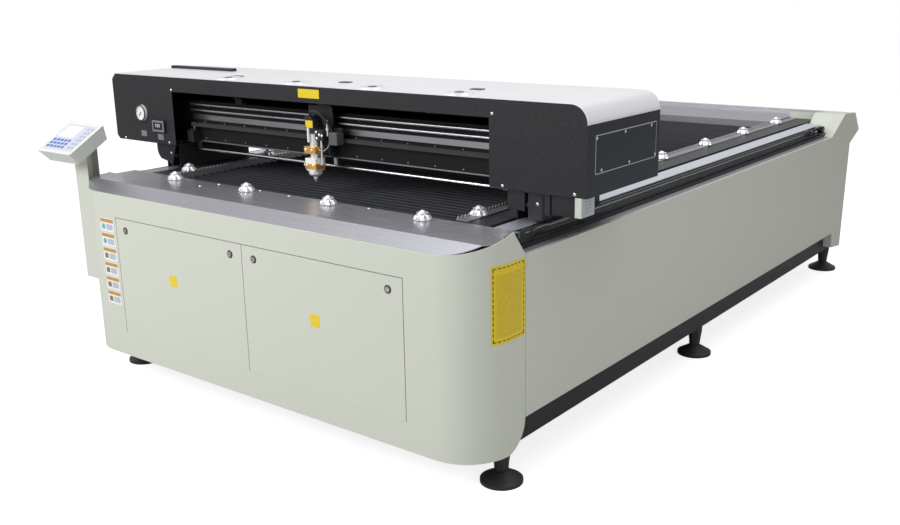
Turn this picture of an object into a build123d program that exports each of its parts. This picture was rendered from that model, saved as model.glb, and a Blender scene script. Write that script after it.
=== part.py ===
from build123d import *
import os
from math import hypot

# A flatbed carbon dioxide laser cutter: a long cream base, a knife table, a gantry that
# rides along the base and a cutting head that rides along the gantry.
# Millimetres. The base's middle is x = 0, its front face is y = 0 and the floor is z = 0
# while the model is built; at the end it is moved to stand over the middle of its box.

# Sheet metal and clearances
sheet = 2.5
seam_gap = 2.0
air_gap = 0.3
bearing_gap = 0.05

# Base
base_width = 2156.0
base_length = 3543.0
corner_radius = 180.0
front_bottom = 138.0
front_top = 838.0
front_depth = 262.0
cheek_y = 193.0
cheek_top = 896.0
cheek_top_left = 874.0
side_bottom = 244.0
side_top = 808.0
side_flange = 45.0

# Rear cheeks, measured from the rear wall's foot and the floor
ramp_foot_back = 292.0
ramp_top_back = 92.0
ramp_rise = 11.0
rear_top = 903.0
hood_top_out = 90.0
hood_nose_out = 182.0
hood_nose_z = 797.0
hood_root_out = 32.0
hood_root_z = 735.0
rear_bottom = 140.0
rear_skirt_length = 150.0
skirt_rise = 18.0
skirt_lean = 8.0

# Access panels in the front
opening_half_width = 780.0
opening_bottom = 243.0
opening_height = 500.0
panel_gap = 3.0
panel_depth = 15.0
latch_inset = 65.0
latch_drop = 49.0
latch_head_radius = 10.0
latch_shaft_radius = 6.0
latch_cam_length = 62.0
latch_cam_width = 16.0
latch_cam_thickness = 4.0

# Frame tubes
frame_width = 2066.0
tube_width = 60.0
tube_height = 80.0
tube_wall = 5.0
tube_bottom = 132.0
frame_front = 200.0
frame_middle = 1730.0
frame_rear_inset = 73.0
post_rear_inset = 303.0
outrigger_rise = 20.0
cross_height = 60.0

# Feet
pad_radius = 75.0
pad_rim = 12.0
pad_height = 42.0
pad_neck_radius = 24.0
stud_radius = 12.0
foot_inset = 30.0

# Rails along the base
beam_width = 125.0
beam_height = 122.0
beam_wall = 6.0
beam_top = 822.0
beam_front = 270.0
beam_rear_inset = 253.0
rail_x = 968.0
rail_width = 23.0
rail_height = 22.0
rail_front_inset = 66.0
rail_rear_inset = 58.0
strip_half_width = 38.0
strip_thickness = 3.0
strip_top = 868.0
strip_post_length = 30.0

# Table
band_inner = 766.0
band_outer = 908.0
band_top = 872.0
band_bottom = 740.0
comb_thickness = 4.0
comb_depth = 112.0
comb_rise = 12.0
comb_shelf = 48.0
comb_shelf_thickness = 3.0
tooth_pitch = 20.0
tooth_depth = 10.0
table_front_gap = 20.0
table_rear_inset = 403.0
blade_pitch = 40.0
blade_thickness = 2.0
blade_height = 46.0
blade_top = 856.0
tray_depth = 78.0
spigot_radius = 100.0
spigot_length = 140.0
spigot_inset = 640.0
front_plate_top = 872.0
front_plate_fold = 75.0
front_plate_overlap = 20.0
front_plate_drop = 22.0
rear_plate_rise = 8.0
rear_plate_gap = 30.0
hood_lip = 30.0
rear_plate_drop = 70.0

# Ball transfer units
ball_radius = 14.0
ball_rise = 10.0
ball_flange_radius = 23.0
ball_flange = 5.0
ball_cup_radius = 20.0
ball_cup_height = 20.0
ball_side_inset = 24.0
ball_side_start = 110.0
ball_side_pitch = 462.0
ball_side_count = 7
ball_front_pitch = 450.0
ball_front_count = 4
ball_front_inset = 44.0
ball_front_middle = -10.0

# Belt drive along the base
base_belt_x = 1018.0
base_belt_width = 14.0
base_belt_thickness = 2.5
base_pulley_radius = 16.0
base_pulley_z = 846.0
base_pulley_front_inset = 46.0
base_pulley_rear_inset = 40.0
base_shaft_radius = 8.0
shaft_clearance = 4.0
bracket_half = 16.0
bracket_thickness = 8.0
base_motor_width = 56.0
base_motor_length = 76.0

# Electrical cabinet in the front of the base
shelf_depth = 500.0
shelf_thickness = 3.0
supply_width = 480.0
supply_depth = 200.0
supply_height = 180.0
driver_width = 300.0
driver_depth = 180.0
driver_height = 120.0
cabinet_gap = 200.0

# Control stand
stand_x = 1089.0
stand_width = 44.0
stand_front = 55.0
stand_rear = 140.0
stand_bottom = 392.0
stand_foot_rise = 30.0
console_width = 248.0
console_length = 203.0
console_thickness = 64.0
console_taper = 14.0
console_tilt = 31.0
console_y = 27.0
console_z = 1045.0
keypad_border = 18.0
keypad_thickness = 1.5

# Gantry box
gantry_left = -1300.0
gantry_right = 1218.0
gantry_front = 400.0
gantry_depth = 490.0
gantry_rise = 108.0
gantry_height = 300.0
gantry_radius = 65.0
gantry_chamfer = 25.0
gantry_foot_chamfer = 17.0
window_left = -868.0
window_right = 835.0
strip_right = 862.0
strip_height = 65.0
strip_flange = 20.0
hatch_thickness = 2.0
hatch_front_inset = 49.0
hatch_rear_inset = 27.0
hatch_bottom_inset = 73.0
hatch_top_inset = 104.0

# Gantry beam and the rail across it
cross_beam_left = -1090.0
cross_beam_right = 1100.0
cross_beam_front = 500.0
cross_beam_depth = 140.0
cross_beam_rise = 10.0
cross_beam_drop = 110.0
cross_beam_wall = 8.0
guide_radius = 6.0
guide_reach = 16.0
guide_web = 4.0
guide_upper_drop = 14.0
guide_pitch = 25.0
guide_end_gap = 20.0
scale_height = 22.0
scale_thickness = 6.0
scale_drop = 59.0
rod_radius = 8.0
rod_drop = 36.0
rod_hanger_inset = 20.0
rod_hanger = 16.0

# Belt drive across the gantry
cross_belt_y = 484.0
cross_belt_drop = 102.0
cross_belt_width = 14.0
cross_belt_thickness = 1.5
cross_pulley_radius = 12.0
cross_pulley_inset = 32.0
cross_shaft_radius = 5.0
cross_motor_width = 42.0
cross_motor_length = 48.0

# Gantry legs
saddle_front = 450.0
saddle_length = 400.0
saddle_plate = 6.0
saddle_wall = 6.0
saddle_side_gap = 4.0
block_length = 80.0
block_width = 60.0
clamp_length = 60.0
leg_plate_y = 430.0
leg_plate = 6.0
leg_plate_gap = 12.0
leg_apron_height = 75.0
leg_apron_inset = 70.0
leg_inner = 890.0
saddle_drop = 11.0
leg_slot = 14.0
limit_bar_inset = 164.0
limit_bar_width = 20.0
limit_bar_depth = 6.0
limit_bar_height = 78.0
leg_fairing = ((39, 0), (39, 39), (30, 60), (16, 74), (-38, 85), (-63, 100), (-98, 0))
end_block_inset = 20.0
end_block_width = 24.0
end_block_length = 80.0
end_block_height = 66.0

# Laser tube and beam path
laser_radius = 40.0
laser_length = 1500.0
laser_y = 770.0
laser_drop = 160.0
holder_thickness = 20.0
holder_rise = 30.0
holder_shelf = 4.0
mirror_x = -520.0

# Vents, gauge and display on the covers
grille_radius = 55.0
grille_height = 5.0
grille_first = -559.0
grille_pitch = 407.0
grille_count = 4
grille_y = 465.0
grille_slot = 5.0
duct_length = 440.0
duct_depth = 30.0
duct_height = 12.0
duct_y = 730.0
gauge_inset = 208.0
gauge_drop = 169.0
gauge_radius = 36.0
gauge_depth = 12.0
needle_length = 22.0
display_inset = 329.0
display_drop = 221.0
display_width = 86.0
display_height = 54.0
display_depth = 10.0

# Cutting head
head_x = -26.0
head_plate_width = 110.0
head_plate_thickness = 12.0
head_plate_back = 468.0
head_plate_drop = 80.0
head_plate_height = 190.0
head_block_margin = 6.0
head_block_depth = 25.0
head_motor_width = 42.0
head_motor_height = 44.0
head_y = 425.0
lens_radius = 17.0
lens_length = 124.0
lens_drop = 188.0
collar_height = 24.0
collar_wall = 9.0
mirror_box = 46.0
ceramic_radius = 19.0
ceramic_height = 12.0
nozzle_radius = 20.0
nozzle_neck_radius = 9.0
nozzle_tip_radius = 3.0
nozzle_height = 51.0
nozzle_dome_height = 28.0
beam_bore = 5.0
lift_up = 20.0


def block(x0, x1, y0, y1, z0, z1):
    """A box between two opposite corners."""
    middle = Pos((x0 + x1) / 2, (y0 + y1) / 2, (z0 + z1) / 2)
    return middle * Box(x1 - x0, y1 - y0, z1 - z0)


def both_sides(shape):
    """A piece of the right-hand side and its mirror image on the left."""
    return [shape, mirror(shape, about=Plane.YZ)]


def prism_x(points, x0, x1):
    """A prism from x0 to x1 with an outline of (y, z) points."""
    outline = Wire.make_polygon([(x0, y, z) for y, z in points])
    return extrude(Face(outline), amount=x1 - x0, dir=(1, 0, 0))


def prism_y(points, y0, y1):
    """A prism from y0 to y1 with an outline of (x, z) points."""
    outline = Wire.make_polygon([(x, y0, z) for x, z in points])
    return extrude(Face(outline), amount=y1 - y0, dir=(0, 1, 0))


def rod_along_x(x0, x1, y, z, radius):
    """A round bar along X."""
    return Pos((x0 + x1) / 2, y, z) * Rot(0, 90, 0) * Cylinder(radius, x1 - x0)


def rod_along_y(x, y0, y1, z, radius):
    """A round bar along Y."""
    return Pos(x, (y0 + y1) / 2, z) * Rot(90, 0, 0) * Cylinder(radius, y1 - y0)


def rod_along_z(x, y, z0, z1, radius):
    """A round bar along Z."""
    return Pos(x, y, (z0 + z1) / 2) * Cylinder(radius, z1 - z0)


def tube_block(x0, x1, y0, y1, z0, z1, wall, axis):
    """A rectangular tube, open at both ends along one axis."""
    inset = [wall, wall, wall]
    inset["xyz".index(axis)] = -1
    ix, iy, iz = inset
    return block(x0, x1, y0, y1, z0, z1) - block(x0 + ix, x1 - ix, y0 + iy, y1 - iy, z0 + iz, z1 - iz)


def bent_sheet(points, thickness):
    """The closed outline of a sheet that follows an open run of points, to the right of it."""
    normals = []
    for (u0, v0), (u1, v1) in zip(points, points[1:]):
        run = hypot(u1 - u0, v1 - v0)
        normals.append(((v1 - v0) / run, -(u1 - u0) / run))
    pairs = list(zip([normals[0]] + normals, normals + [normals[-1]]))
    back = []
    for (u, v), (a, b) in zip(points, pairs):
        scale = thickness / (1 + a[0] * b[0] + a[1] * b[1])
        back.append((u + (a[0] + b[0]) * scale, v + (a[1] + b[1]) * scale))
    return points + back[::-1]


half_width = base_width / 2
flange_inner = half_width - side_flange
rail_beam_outer = flange_inner
rail_beam_inner = rail_beam_outer - beam_width
frame_outer = frame_width / 2
frame_inner = frame_outer - tube_width
tube_top = tube_bottom + tube_height
beam_bottom = beam_top - beam_height
cross_bottom = beam_bottom - cross_height
frame_rear = base_length - frame_rear_inset
post_rear = base_length - post_rear_inset
beam_rear = base_length - beam_rear_inset
rail_front = beam_front + rail_front_inset
rail_rear = beam_rear - rail_rear_inset
base_pulley_front = beam_front + base_pulley_front_inset
base_pulley_rear = beam_rear - base_pulley_rear_inset
front_plate_rear = beam_front + front_plate_overlap
table_front = front_plate_rear + table_front_gap
table_rear = base_length - table_rear_inset
rear_plate_front = table_rear + rear_plate_gap
rear_plate_top = band_top + rear_plate_rise
spigot_y = table_rear - spigot_inset
comb_top = band_top + comb_rise
gantry_rear = gantry_front + gantry_depth
gantry_bottom = band_top + gantry_rise
gantry_top = gantry_bottom + gantry_height
window_top = gantry_top - strip_height
cross_beam_bottom = gantry_bottom + cross_beam_rise
cross_beam_top = gantry_top - cross_beam_drop
guide_y = cross_beam_front - guide_reach
guide_levels = (cross_beam_top - guide_upper_drop, cross_beam_top - guide_upper_drop - guide_pitch)
rod_z = cross_beam_bottom - rod_drop
cross_belt_z = cross_beam_top - cross_belt_drop
cross_pulley_left = window_left + cross_pulley_inset
cross_pulley_right = window_right - cross_pulley_inset
saddle_bottom = strip_top - saddle_drop
laser_z = gantry_top - laser_drop
limit_bar_x = gantry_right - limit_bar_inset
end_block_x = gantry_right - end_block_inset - end_block_width
gauge_x = gantry_left + gauge_inset
gauge_z = gantry_top - gauge_drop
display_x = gantry_left + display_inset
display_z = gantry_top - display_drop
head_plate_top = gantry_top - head_plate_drop
head_plate_bottom = head_plate_top - head_plate_height
lens_top = gantry_top - lens_drop
lens_bottom = lens_top - lens_length
nozzle_bottom = lens_bottom - ceramic_height - nozzle_height
opening_top = opening_bottom + opening_height
frame_rows = (frame_front, frame_middle, post_rear)
tray_outer = band_inner - comb_thickness
band_rear = base_length - ramp_top_back


def footprint(inset, y_rear, z0, z1):
    """The base's plan with its rounded front corners, as a solid from z0 to z1."""
    radius = corner_radius - inset
    body = block(-half_width + inset, half_width - inset, inset, y_rear, z0, z1)
    return fillet(body.edges().filter_by(Axis.Z).group_by(Axis.Y)[0], radius)


# The cream sheet-metal skin of the base

def front_shell():
    """One rolled sheet round the front, with cheeks, an opening and lips round it."""
    skin = footprint(0, front_depth, front_bottom, cheek_top)
    skin -= footprint(sheet, front_depth + 1, front_bottom - 1, cheek_top + 1)
    skin -= cheek_waste(cheek_top, -half_width - 1, half_width + 1)
    skin -= cheek_waste(cheek_top_left, -half_width - 1, corner_radius - half_width)
    heel = side_bottom - front_bottom
    heel_waste = block(-half_width - 1, half_width + 1, front_depth - heel, front_depth + 1,
                       front_bottom - 1, side_bottom)
    heel_waste -= rod_along_x(-half_width - 1, half_width + 1, front_depth - heel, side_bottom, heel)
    skin -= heel_waste
    skin -= block(-opening_half_width, opening_half_width, -1, sheet + 1, opening_bottom, opening_top)
    for z0 in (opening_bottom - sheet, opening_top):
        skin += block(-opening_half_width, opening_half_width, sheet, panel_depth, z0, z0 + sheet)
    return skin


def cheek_waste(peak, x0, x1):
    """What is cut away above a cheek that rises to its peak and drops to the side panel."""
    slope = (peak - side_top) / (front_depth - cheek_y)
    waste = cheek_top + 1
    outline = [(-1, front_top), (0, front_top), (cheek_y, peak), (front_depth, side_top)]
    outline += [(front_depth + 1, side_top - slope), (front_depth + 1, waste), (-1, waste)]
    return prism_x(outline, x0, x1)


def side_outline(inset):
    """The side panel's outline in (y, z), drawn in by the inset on every edge."""
    foot = base_length
    points = [
        (front_depth + seam_gap, side_bottom),
        (front_depth + seam_gap, side_top),
        (foot - ramp_foot_back, side_top),
        (foot - ramp_top_back, rear_top + ramp_rise),
        (foot + hood_top_out, rear_top),
        (foot + hood_nose_out, hood_nose_z),
        (foot + hood_root_out, hood_root_z),
        (foot, rear_bottom),
        (foot - rear_skirt_length, rear_bottom + skirt_rise),
        (foot - rear_skirt_length - skirt_lean, side_bottom),
    ]
    if inset == 0:
        return points
    ring = points + [points[0]]
    inner = bent_sheet(ring, inset)[len(ring):][::-1]
    closing = corner_inset(points[-1], points[0], points[1], inset)
    return [closing] + inner[1:-1]


def corner_inset(before, corner, after, inset):
    """Where a corner goes when the two edges beside it move in by the inset."""
    run_in = bent_sheet([before, corner, after], inset)
    return run_in[4]


def side_panel(side):
    """A pan-shaped side panel with a flange all round, its rear end risen to a cheek."""
    pan = prism_x(side_outline(0), flange_inner, half_width)
    pan -= prism_x(side_outline(sheet), flange_inner - 1, half_width - sheet)
    return pan if side > 0 else mirror(pan, about=Plane.YZ)


def rear_shell():
    """The folded rear wall with its overhanging hood, and a ramp closing each rail trough."""
    foot = base_length
    lip = (foot + hood_top_out - hood_lip, rear_top)
    wall = [
        lip,
        (foot + hood_top_out, rear_top),
        (foot + hood_nose_out, hood_nose_z),
        (foot + hood_root_out, hood_root_z),
        (foot, rear_bottom),
    ]
    shell = prism_x(bent_sheet(wall, sheet), -flange_inner, flange_inner)
    ramp = [(beam_rear + hood_lip, beam_top), (foot - ramp_top_back, rear_top + ramp_rise - sheet), lip]
    infill = [(band_rear, band_top), ramp[1], lip]
    for side in (1, -1):
        for profile, inner, outer in ((ramp, band_outer, flange_inner), (infill, band_inner, band_outer + 1)):
            x0, x1 = sorted((side * inner, side * outer))
            shell += prism_x(bent_sheet(profile, sheet), x0, x1)
    return shell


def access_panel(side):
    """A tray-shaped lift-off panel, hung on its bottom edge, with two latch holes."""
    x0 = panel_gap / 2
    x1 = opening_half_width - panel_gap
    z0 = opening_bottom + air_gap
    z1 = opening_top - panel_gap
    tray = block(x0, x1, 0, panel_depth, z0, z1)
    tray -= block(x0 + sheet, x1 - sheet, sheet, panel_depth + 1, z0 + sheet, z1 - sheet)
    for x in latch_places():
        tray -= rod_along_y(x, -1, sheet + 1, latch_z(), latch_shaft_radius + bearing_gap)
    return tray if side > 0 else mirror(tray, about=Plane.YZ)


def latch_places():
    """The x of the two latches in the right-hand panel, inner first."""
    return (latch_inset, opening_half_width - latch_inset)


def latch_z():
    return opening_top - latch_drop


def latch(x):
    """A quarter-turn latch: slotted head, shaft and cam, with the cam turned aside."""
    z = latch_z()
    head_y = -3.0
    cam_y = panel_depth + 3
    toward = -1 if abs(x) > opening_half_width / 2 else 1
    toward *= 1 if x > 0 else -1
    turn = rod_along_y(x, head_y, -air_gap, z, latch_head_radius)
    turn += rod_along_y(x, head_y, cam_y + latch_cam_thickness, z, latch_shaft_radius)
    turn -= block(x - 8, x + 8, head_y - 1, head_y + 1.5, z - 1, z + 1)
    reach = latch_cam_length * toward
    ends = sorted((x, x + reach))
    turn += block(ends[0], ends[1], cam_y, cam_y + latch_cam_thickness,
                  z - latch_cam_width / 2, z + latch_cam_width / 2)
    return turn


# The black tube frame and the feet

def base_frame():
    """Butted rectangular tubes: two long sills, posts, cross tubes and short outriggers."""
    pieces = []
    sill = tube_block(frame_inner, frame_outer, frame_front, frame_rear + tube_width,
                      tube_bottom, tube_top, tube_wall, "y")
    pieces += both_sides(sill)
    for y in frame_rows:
        post = tube_block(frame_inner, frame_outer, y, y + tube_width, tube_top, cross_bottom, tube_wall, "z")
        pieces += both_sides(post)
        pieces.append(tube_block(-frame_outer, frame_outer, y, y + tube_width,
                                 cross_bottom, beam_bottom, tube_wall, "x"))
    for y in (frame_front, frame_middle, frame_rear):
        pieces.append(tube_block(-frame_inner, frame_inner, y, y + tube_width,
                                 tube_bottom, tube_top, tube_wall, "x"))
    x = opening_half_width / 2
    outrigger = tube_block(x - tube_width / 2, x + tube_width / 2, sheet, frame_front,
                           tube_bottom + outrigger_rise, tube_top, tube_wall, "y")
    return pieces + both_sides(outrigger)


def foot_places():
    """The (x, y) of the six levelling feet."""
    x = frame_outer - foot_inset
    return [(side * x, y + tube_width / 2) for y in (frame_front, frame_middle, frame_rear) for side in (1, -1)]


def foot_pads():
    """Bell-shaped steel pads."""
    bell = [(0, 0), (pad_radius, 0), (pad_radius, pad_rim), (pad_neck_radius, pad_height), (0, pad_height)]
    outline = Face(Wire.make_polygon([(u, 0, v) for u, v in bell]))
    pad = revolve(outline, Axis.Z)
    return [Pos(x, y, 0) * pad for x, y in foot_places()]


def foot_studs():
    """Studs with a lock nut under the frame."""
    stud = rod_along_z(0, 0, pad_height, tube_bottom, stud_radius)
    nut = Pos(0, 0, tube_bottom - 7) * extrude(RegularPolygon(stud_radius * 1.6, 6), 7)
    return [Pos(x, y, 0) * (stud + nut) for x, y in foot_places()]


# Rails, belts and the drive along the base

def rail_beams():
    beam = tube_block(rail_beam_inner, rail_beam_outer, beam_front, beam_rear,
                      beam_bottom, beam_top, beam_wall, "y")
    return both_sides(beam)


def linear_rails():
    """A profiled guide rail on each beam, waisted below its head."""
    w = rail_width / 2
    rail = block(rail_x - w, rail_x + w, rail_front, rail_rear, beam_top, beam_top + rail_height)
    for side in (1, -1):
        groove = Pos(rail_x + side * w, 0, beam_top + rail_height * 0.62) * Rot(90, 0, 0)
        rail -= groove * Cylinder(3, 2 * base_length)
    return both_sides(rail)


def cover_strips():
    """A bright strip over each rail, held up on a post at either end."""
    x0 = rail_x - 8 - strip_half_width
    x1 = rail_x - 8 + strip_half_width
    strip = block(x0, x1, front_plate_rear, beam_rear, strip_top - strip_thickness, strip_top)
    middle = (x0 + x1) / 2
    for y in (front_plate_rear, beam_rear - strip_post_length):
        strip += block(middle - 18, middle + 18, y, y + strip_post_length, beam_top, strip_top - 1)
    strip -= rod_along_x(x0, x1, base_pulley_rear, base_pulley_z, base_shaft_radius + shaft_clearance)
    return both_sides(strip)


def belt_loop(centre_distance, pulley_radius, thickness, width):
    """A closed belt in the XY plane round two pulleys, the first at the origin."""
    inner = pulley_radius + air_gap
    outer = inner + thickness
    loop = None
    for radius, sign in ((outer, 1), (inner, -1)):
        height = width if sign > 0 else width + 2
        slab = Pos(centre_distance / 2, 0, 0) * Box(centre_distance, 2 * radius, height)
        slab += Cylinder(radius, height)
        slab += Pos(centre_distance, 0, 0) * Cylinder(radius, height)
        loop = slab if sign > 0 else loop - slab
    return loop


def base_belts():
    span = base_pulley_rear - base_pulley_front
    loop = belt_loop(span, base_pulley_radius, base_belt_thickness, base_belt_width)
    upright = Plane(origin=(base_belt_x, base_pulley_front, base_pulley_z), x_dir=(0, 1, 0), z_dir=(1, 0, 0))
    return both_sides(upright * loop)


def flanged_pulley_x(x, y):
    """A belt pulley about X with a rim at each edge."""
    w = base_belt_width / 2 + 1
    wheel = rod_along_x(x - w, x + w, y, base_pulley_z, base_pulley_radius)
    for side in (-1, 1):
        edge = sorted((x + side * w, x + side * (w + 1.5)))
        wheel += rod_along_x(edge[0], edge[1], y, base_pulley_z, base_pulley_radius + 4)
    return wheel


def bracket_span():
    """The x of a pulley bracket plate, just inside the belt."""
    x1 = base_belt_x - base_belt_width / 2 - 4
    return x1 - bracket_thickness, x1


def base_drive_shaft():
    """The cross shaft at the rear with a belt pulley at each end."""
    reach = base_belt_x + base_belt_width / 2
    shaft = rod_along_x(-reach, reach, base_pulley_rear, base_pulley_z, base_shaft_radius)
    for side in (1, -1):
        shaft += flanged_pulley_x(side * base_belt_x, base_pulley_rear)
    return shaft


def base_idlers():
    """The front idler pulleys on their stub axles."""
    x0 = bracket_span()[0] - 4
    axle = rod_along_x(x0, base_belt_x, base_pulley_front, base_pulley_z, base_shaft_radius)
    return both_sides(axle + flanged_pulley_x(base_belt_x, base_pulley_front))


def pulley_brackets():
    """Upright bearing plates on the rail beams for the idlers and the drive shaft."""
    x0, x1 = bracket_span()
    half = bracket_half
    pieces = []
    for y in (base_pulley_front, base_pulley_rear):
        plate = block(x0, x1, y - half, y + half, beam_top, base_pulley_z + half)
        plate -= rod_along_x(x0 - 1, x1 + 1, y, base_pulley_z, base_shaft_radius + bearing_gap)
        pieces += both_sides(plate)
    return pieces


def base_motor():
    """A double-ended motor round the middle of the drive shaft, on a foot."""
    w = base_motor_width / 2
    y = base_pulley_rear
    body = block(-base_motor_length / 2, base_motor_length / 2, y - w, y + w, base_pulley_z - w, base_pulley_z + w)
    body += block(-12, 12, y - 18, y + 18, beam_bottom, base_pulley_z - w + 1)
    reach = base_motor_length
    return body - rod_along_x(-reach, reach, y, base_pulley_z, base_shaft_radius + bearing_gap)


# The cutting table

def side_bands():
    """Black folded channels between the table and the rails."""
    profile = [(band_inner, band_bottom), (band_inner, band_top), (band_outer, band_top), (band_outer, beam_top)]
    channel = prism_y(bent_sheet(profile, sheet), front_plate_rear, band_rear)
    hole = base_shaft_radius + shaft_clearance
    channel -= rod_along_x(band_inner - 1, band_outer + 1, base_pulley_rear, base_pulley_z, hole)
    return both_sides(channel)


def comb_strips():
    """Saw-toothed strips that the blade ends stand against, with a flat shelf on the band."""
    foot = band_top - comb_depth
    teeth = [(table_front, foot), (table_front, comb_top - tooth_depth)]
    count = int((table_rear - table_front) / tooth_pitch)
    for i in range(count):
        y = table_front + i * tooth_pitch
        teeth.append((y + tooth_pitch / 2, comb_top))
        teeth.append((y + tooth_pitch, comb_top - tooth_depth))
    rear = table_front + count * tooth_pitch
    teeth.append((rear, foot))
    shelf = block(band_inner, band_inner + comb_shelf, table_front, band_rear - seam_gap,
                  band_top, band_top + comb_shelf_thickness)
    strip = prism_x(teeth, tray_outer, band_inner)
    return both_sides(strip + shelf)


def knife_blades():
    """The blades that carry the work, each sharpened along its top edge."""
    half = blade_thickness / 2
    shoulder = blade_top - 4
    count = int((table_rear - table_front) / blade_pitch)
    blades = []
    for i in range(count):
        y = table_front + (i + 0.5) * blade_pitch
        section = [(y - half, blade_top - blade_height), (y - half, shoulder), (y, blade_top)]
        section += [(y + half, shoulder), (y + half, blade_top - blade_height)]
        blades.append(prism_x(section, -tray_outer, tray_outer))
    return blades


def exhaust_tray():
    """A shallow tray that catches scrap under the blades, with a duct spigot below."""
    z0 = beam_bottom
    tray = block(-tray_outer, tray_outer, table_front, table_rear, z0, z0 + tray_depth)
    tray -= block(-tray_outer + sheet, tray_outer - sheet, table_front + sheet, table_rear - sheet,
                  z0 + sheet, z0 + tray_depth + 1)
    tray += rod_along_z(0, spigot_y, z0 - spigot_length, z0 + sheet, spigot_radius)
    return tray - rod_along_z(0, spigot_y, z0 - spigot_length - 1, z0 + sheet + 1, spigot_radius - sheet)


def front_plate():
    """The bright front plate: a sloped skirt, a flat and a drop at its rear edge."""
    run = [
        (0, front_top),
        (front_plate_fold, front_plate_top),
        (front_plate_rear, front_plate_top),
        (front_plate_rear, front_plate_top - front_plate_drop),
    ]
    plate = prism_x(bent_sheet(run, sheet), -half_width, half_width)
    plate = plate & footprint(sheet + air_gap, front_depth * 2, front_bottom, cheek_top)
    corner = block(flange_inner, half_width, cheek_y, front_plate_rear + 1, front_bottom, cheek_top)
    return plate - corner - mirror(corner, about=Plane.YZ)


def rear_plate():
    """The bright plate behind the table, with a drop at its front edge."""
    rear = base_length + hood_top_out - hood_lip
    run = [(rear_plate_front, rear_plate_top - rear_plate_drop), (rear_plate_front, rear_plate_top)]
    run += [(rear, rear_plate_top), (rear, rear_top - sheet - 1)]
    return prism_x(bent_sheet(run, sheet), -band_inner, band_inner)


def ball_places():
    """The (x, y, z) of every ball transfer unit's seat: four on the front plate, the rest on the combs."""
    places = []
    for i in range(ball_front_count):
        x = ball_front_middle + (i - (ball_front_count - 1) / 2) * ball_front_pitch
        places.append((x, front_plate_rear - ball_front_inset, front_plate_top))
    for i in range(ball_side_count):
        y = front_plate_rear + ball_side_start + i * ball_side_pitch
        x = band_inner + ball_side_inset
        z = band_top + comb_shelf_thickness
        places += [(x, y, z), (-x, y, z)]
    return places


def ball_units():
    """Ball transfer units: flange, cup and ball made up as one piece each."""
    cup_top = ball_flange + ball_cup_height
    unit = rod_along_z(0, 0, 0, ball_flange, ball_flange_radius)
    unit += rod_along_z(0, 0, 0, cup_top, ball_cup_radius)
    unit += Pos(0, 0, cup_top + ball_rise - ball_radius) * Sphere(ball_radius)
    return [Pos(x, y, z) * unit for x, y, z in ball_places()]


# Electrical cabinet and control stand

def cabinet_shelf():
    return block(-frame_inner, frame_inner, frame_front, frame_front + shelf_depth, tube_top, tube_top + shelf_thickness)


def laser_supply():
    """The finned high-voltage supply for the laser tube."""
    y = frame_front + tube_width + 40
    z = tube_top + shelf_thickness
    body = block(-cabinet_gap - supply_width, -cabinet_gap, y, y + supply_depth, z, z + supply_height)
    for i in range(10):
        x = -cabinet_gap - supply_width + (i + 0.5) * supply_width / 10
        body -= block(x - 8, x + 8, y - 1, y + 12, z + 12, z + supply_height - 12)
    return body


def motor_drivers():
    """The motion controller and its motor drivers, side by side."""
    y = frame_front + tube_width + 40
    z = tube_top + shelf_thickness
    pieces = []
    for i in range(2):
        x = cabinet_gap + i * (driver_width / 2 + 20)
        pieces.append(block(x, x + driver_width / 2, y, y + driver_depth, z, z + driver_height))
    return pieces


def console_frame():
    """The tilted frame at the middle of the console's top face."""
    return Pos(-stand_x, console_y, console_z) * Rot(console_tilt, 0, 0)


def control_stand():
    """A folded column on the left front corner, cut away under the console."""
    x0 = -stand_x - stand_width * 0.75
    x1 = -half_width + corner_radius
    rise = stand_rear - stand_front
    side = [(stand_front, stand_bottom + stand_foot_rise), (stand_front, console_z), (stand_rear, console_z + rise)]
    side += [(stand_rear, stand_bottom)]
    column = prism_x(side, x0, x1)
    hollow = [(stand_front + sheet, stand_bottom + stand_foot_rise + sheet), (stand_front + sheet, console_z)]
    hollow += [(stand_rear - sheet, console_z + rise), (stand_rear - sheet, stand_bottom + 2 * sheet)]
    column -= prism_x(hollow, x0 + sheet, x1 + 1)
    column -= footprint(0, front_depth * 2, front_bottom, console_z)
    reach = 4 * console_length
    above = Pos(0, 0, reach / 2 - console_thickness) * Box(reach, reach, reach)
    return column - console_frame() * above


def console_box():
    """The console's box, tapered towards its underside and rounded at its corners."""
    top = Plane.XY * Rectangle(console_width, console_length)
    under = Plane.XY.offset(-console_thickness) * Rectangle(console_width - 2 * console_taper,
                                                            console_length - 2 * console_taper)
    body = loft([top.face(), under.face()])
    body = fillet(body.edges().filter_by(lambda e: abs(e.tangent_at(0).Z) > 0.5), 8)
    return console_frame() * (body - keypad_sheet())


def keypad_sheet():
    """The keypad in the console's own frame, its face level with the box's."""
    width = console_width - 2 * keypad_border
    length = console_length - 2 * keypad_border
    return Pos(0, 0, -keypad_thickness / 2) * Box(width, length, keypad_thickness)


def keypad():
    """The membrane keypad sheet in the console's recess."""
    return console_frame() * keypad_sheet()


# The gantry's covers

def gantry_section(inset):
    """The gantry box's section in XZ, drawn in by the inset."""
    x0 = gantry_left + inset
    x1 = gantry_right - inset
    z0 = gantry_bottom + inset
    z1 = gantry_top - inset
    slope = inset * 0.414
    section = [(x0, z0 + gantry_foot_chamfer - slope), (x0, z1 - gantry_chamfer + slope)]
    section += [(x0 + gantry_chamfer - slope, z1), (x1, z1), (x1, z0), (x0 + gantry_foot_chamfer - slope, z0)]
    return section


def gantry_solid(inset, y0, y1):
    """The gantry box as a solid between two planes, with its rounded top right edge."""
    body = prism_y(gantry_section(inset), y0, y1)
    edge = body.edges().filter_by(Axis.Y).sort_by(lambda e: e.center().X + e.center().Z)[-1]
    return fillet(edge, gantry_radius - inset)


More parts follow.
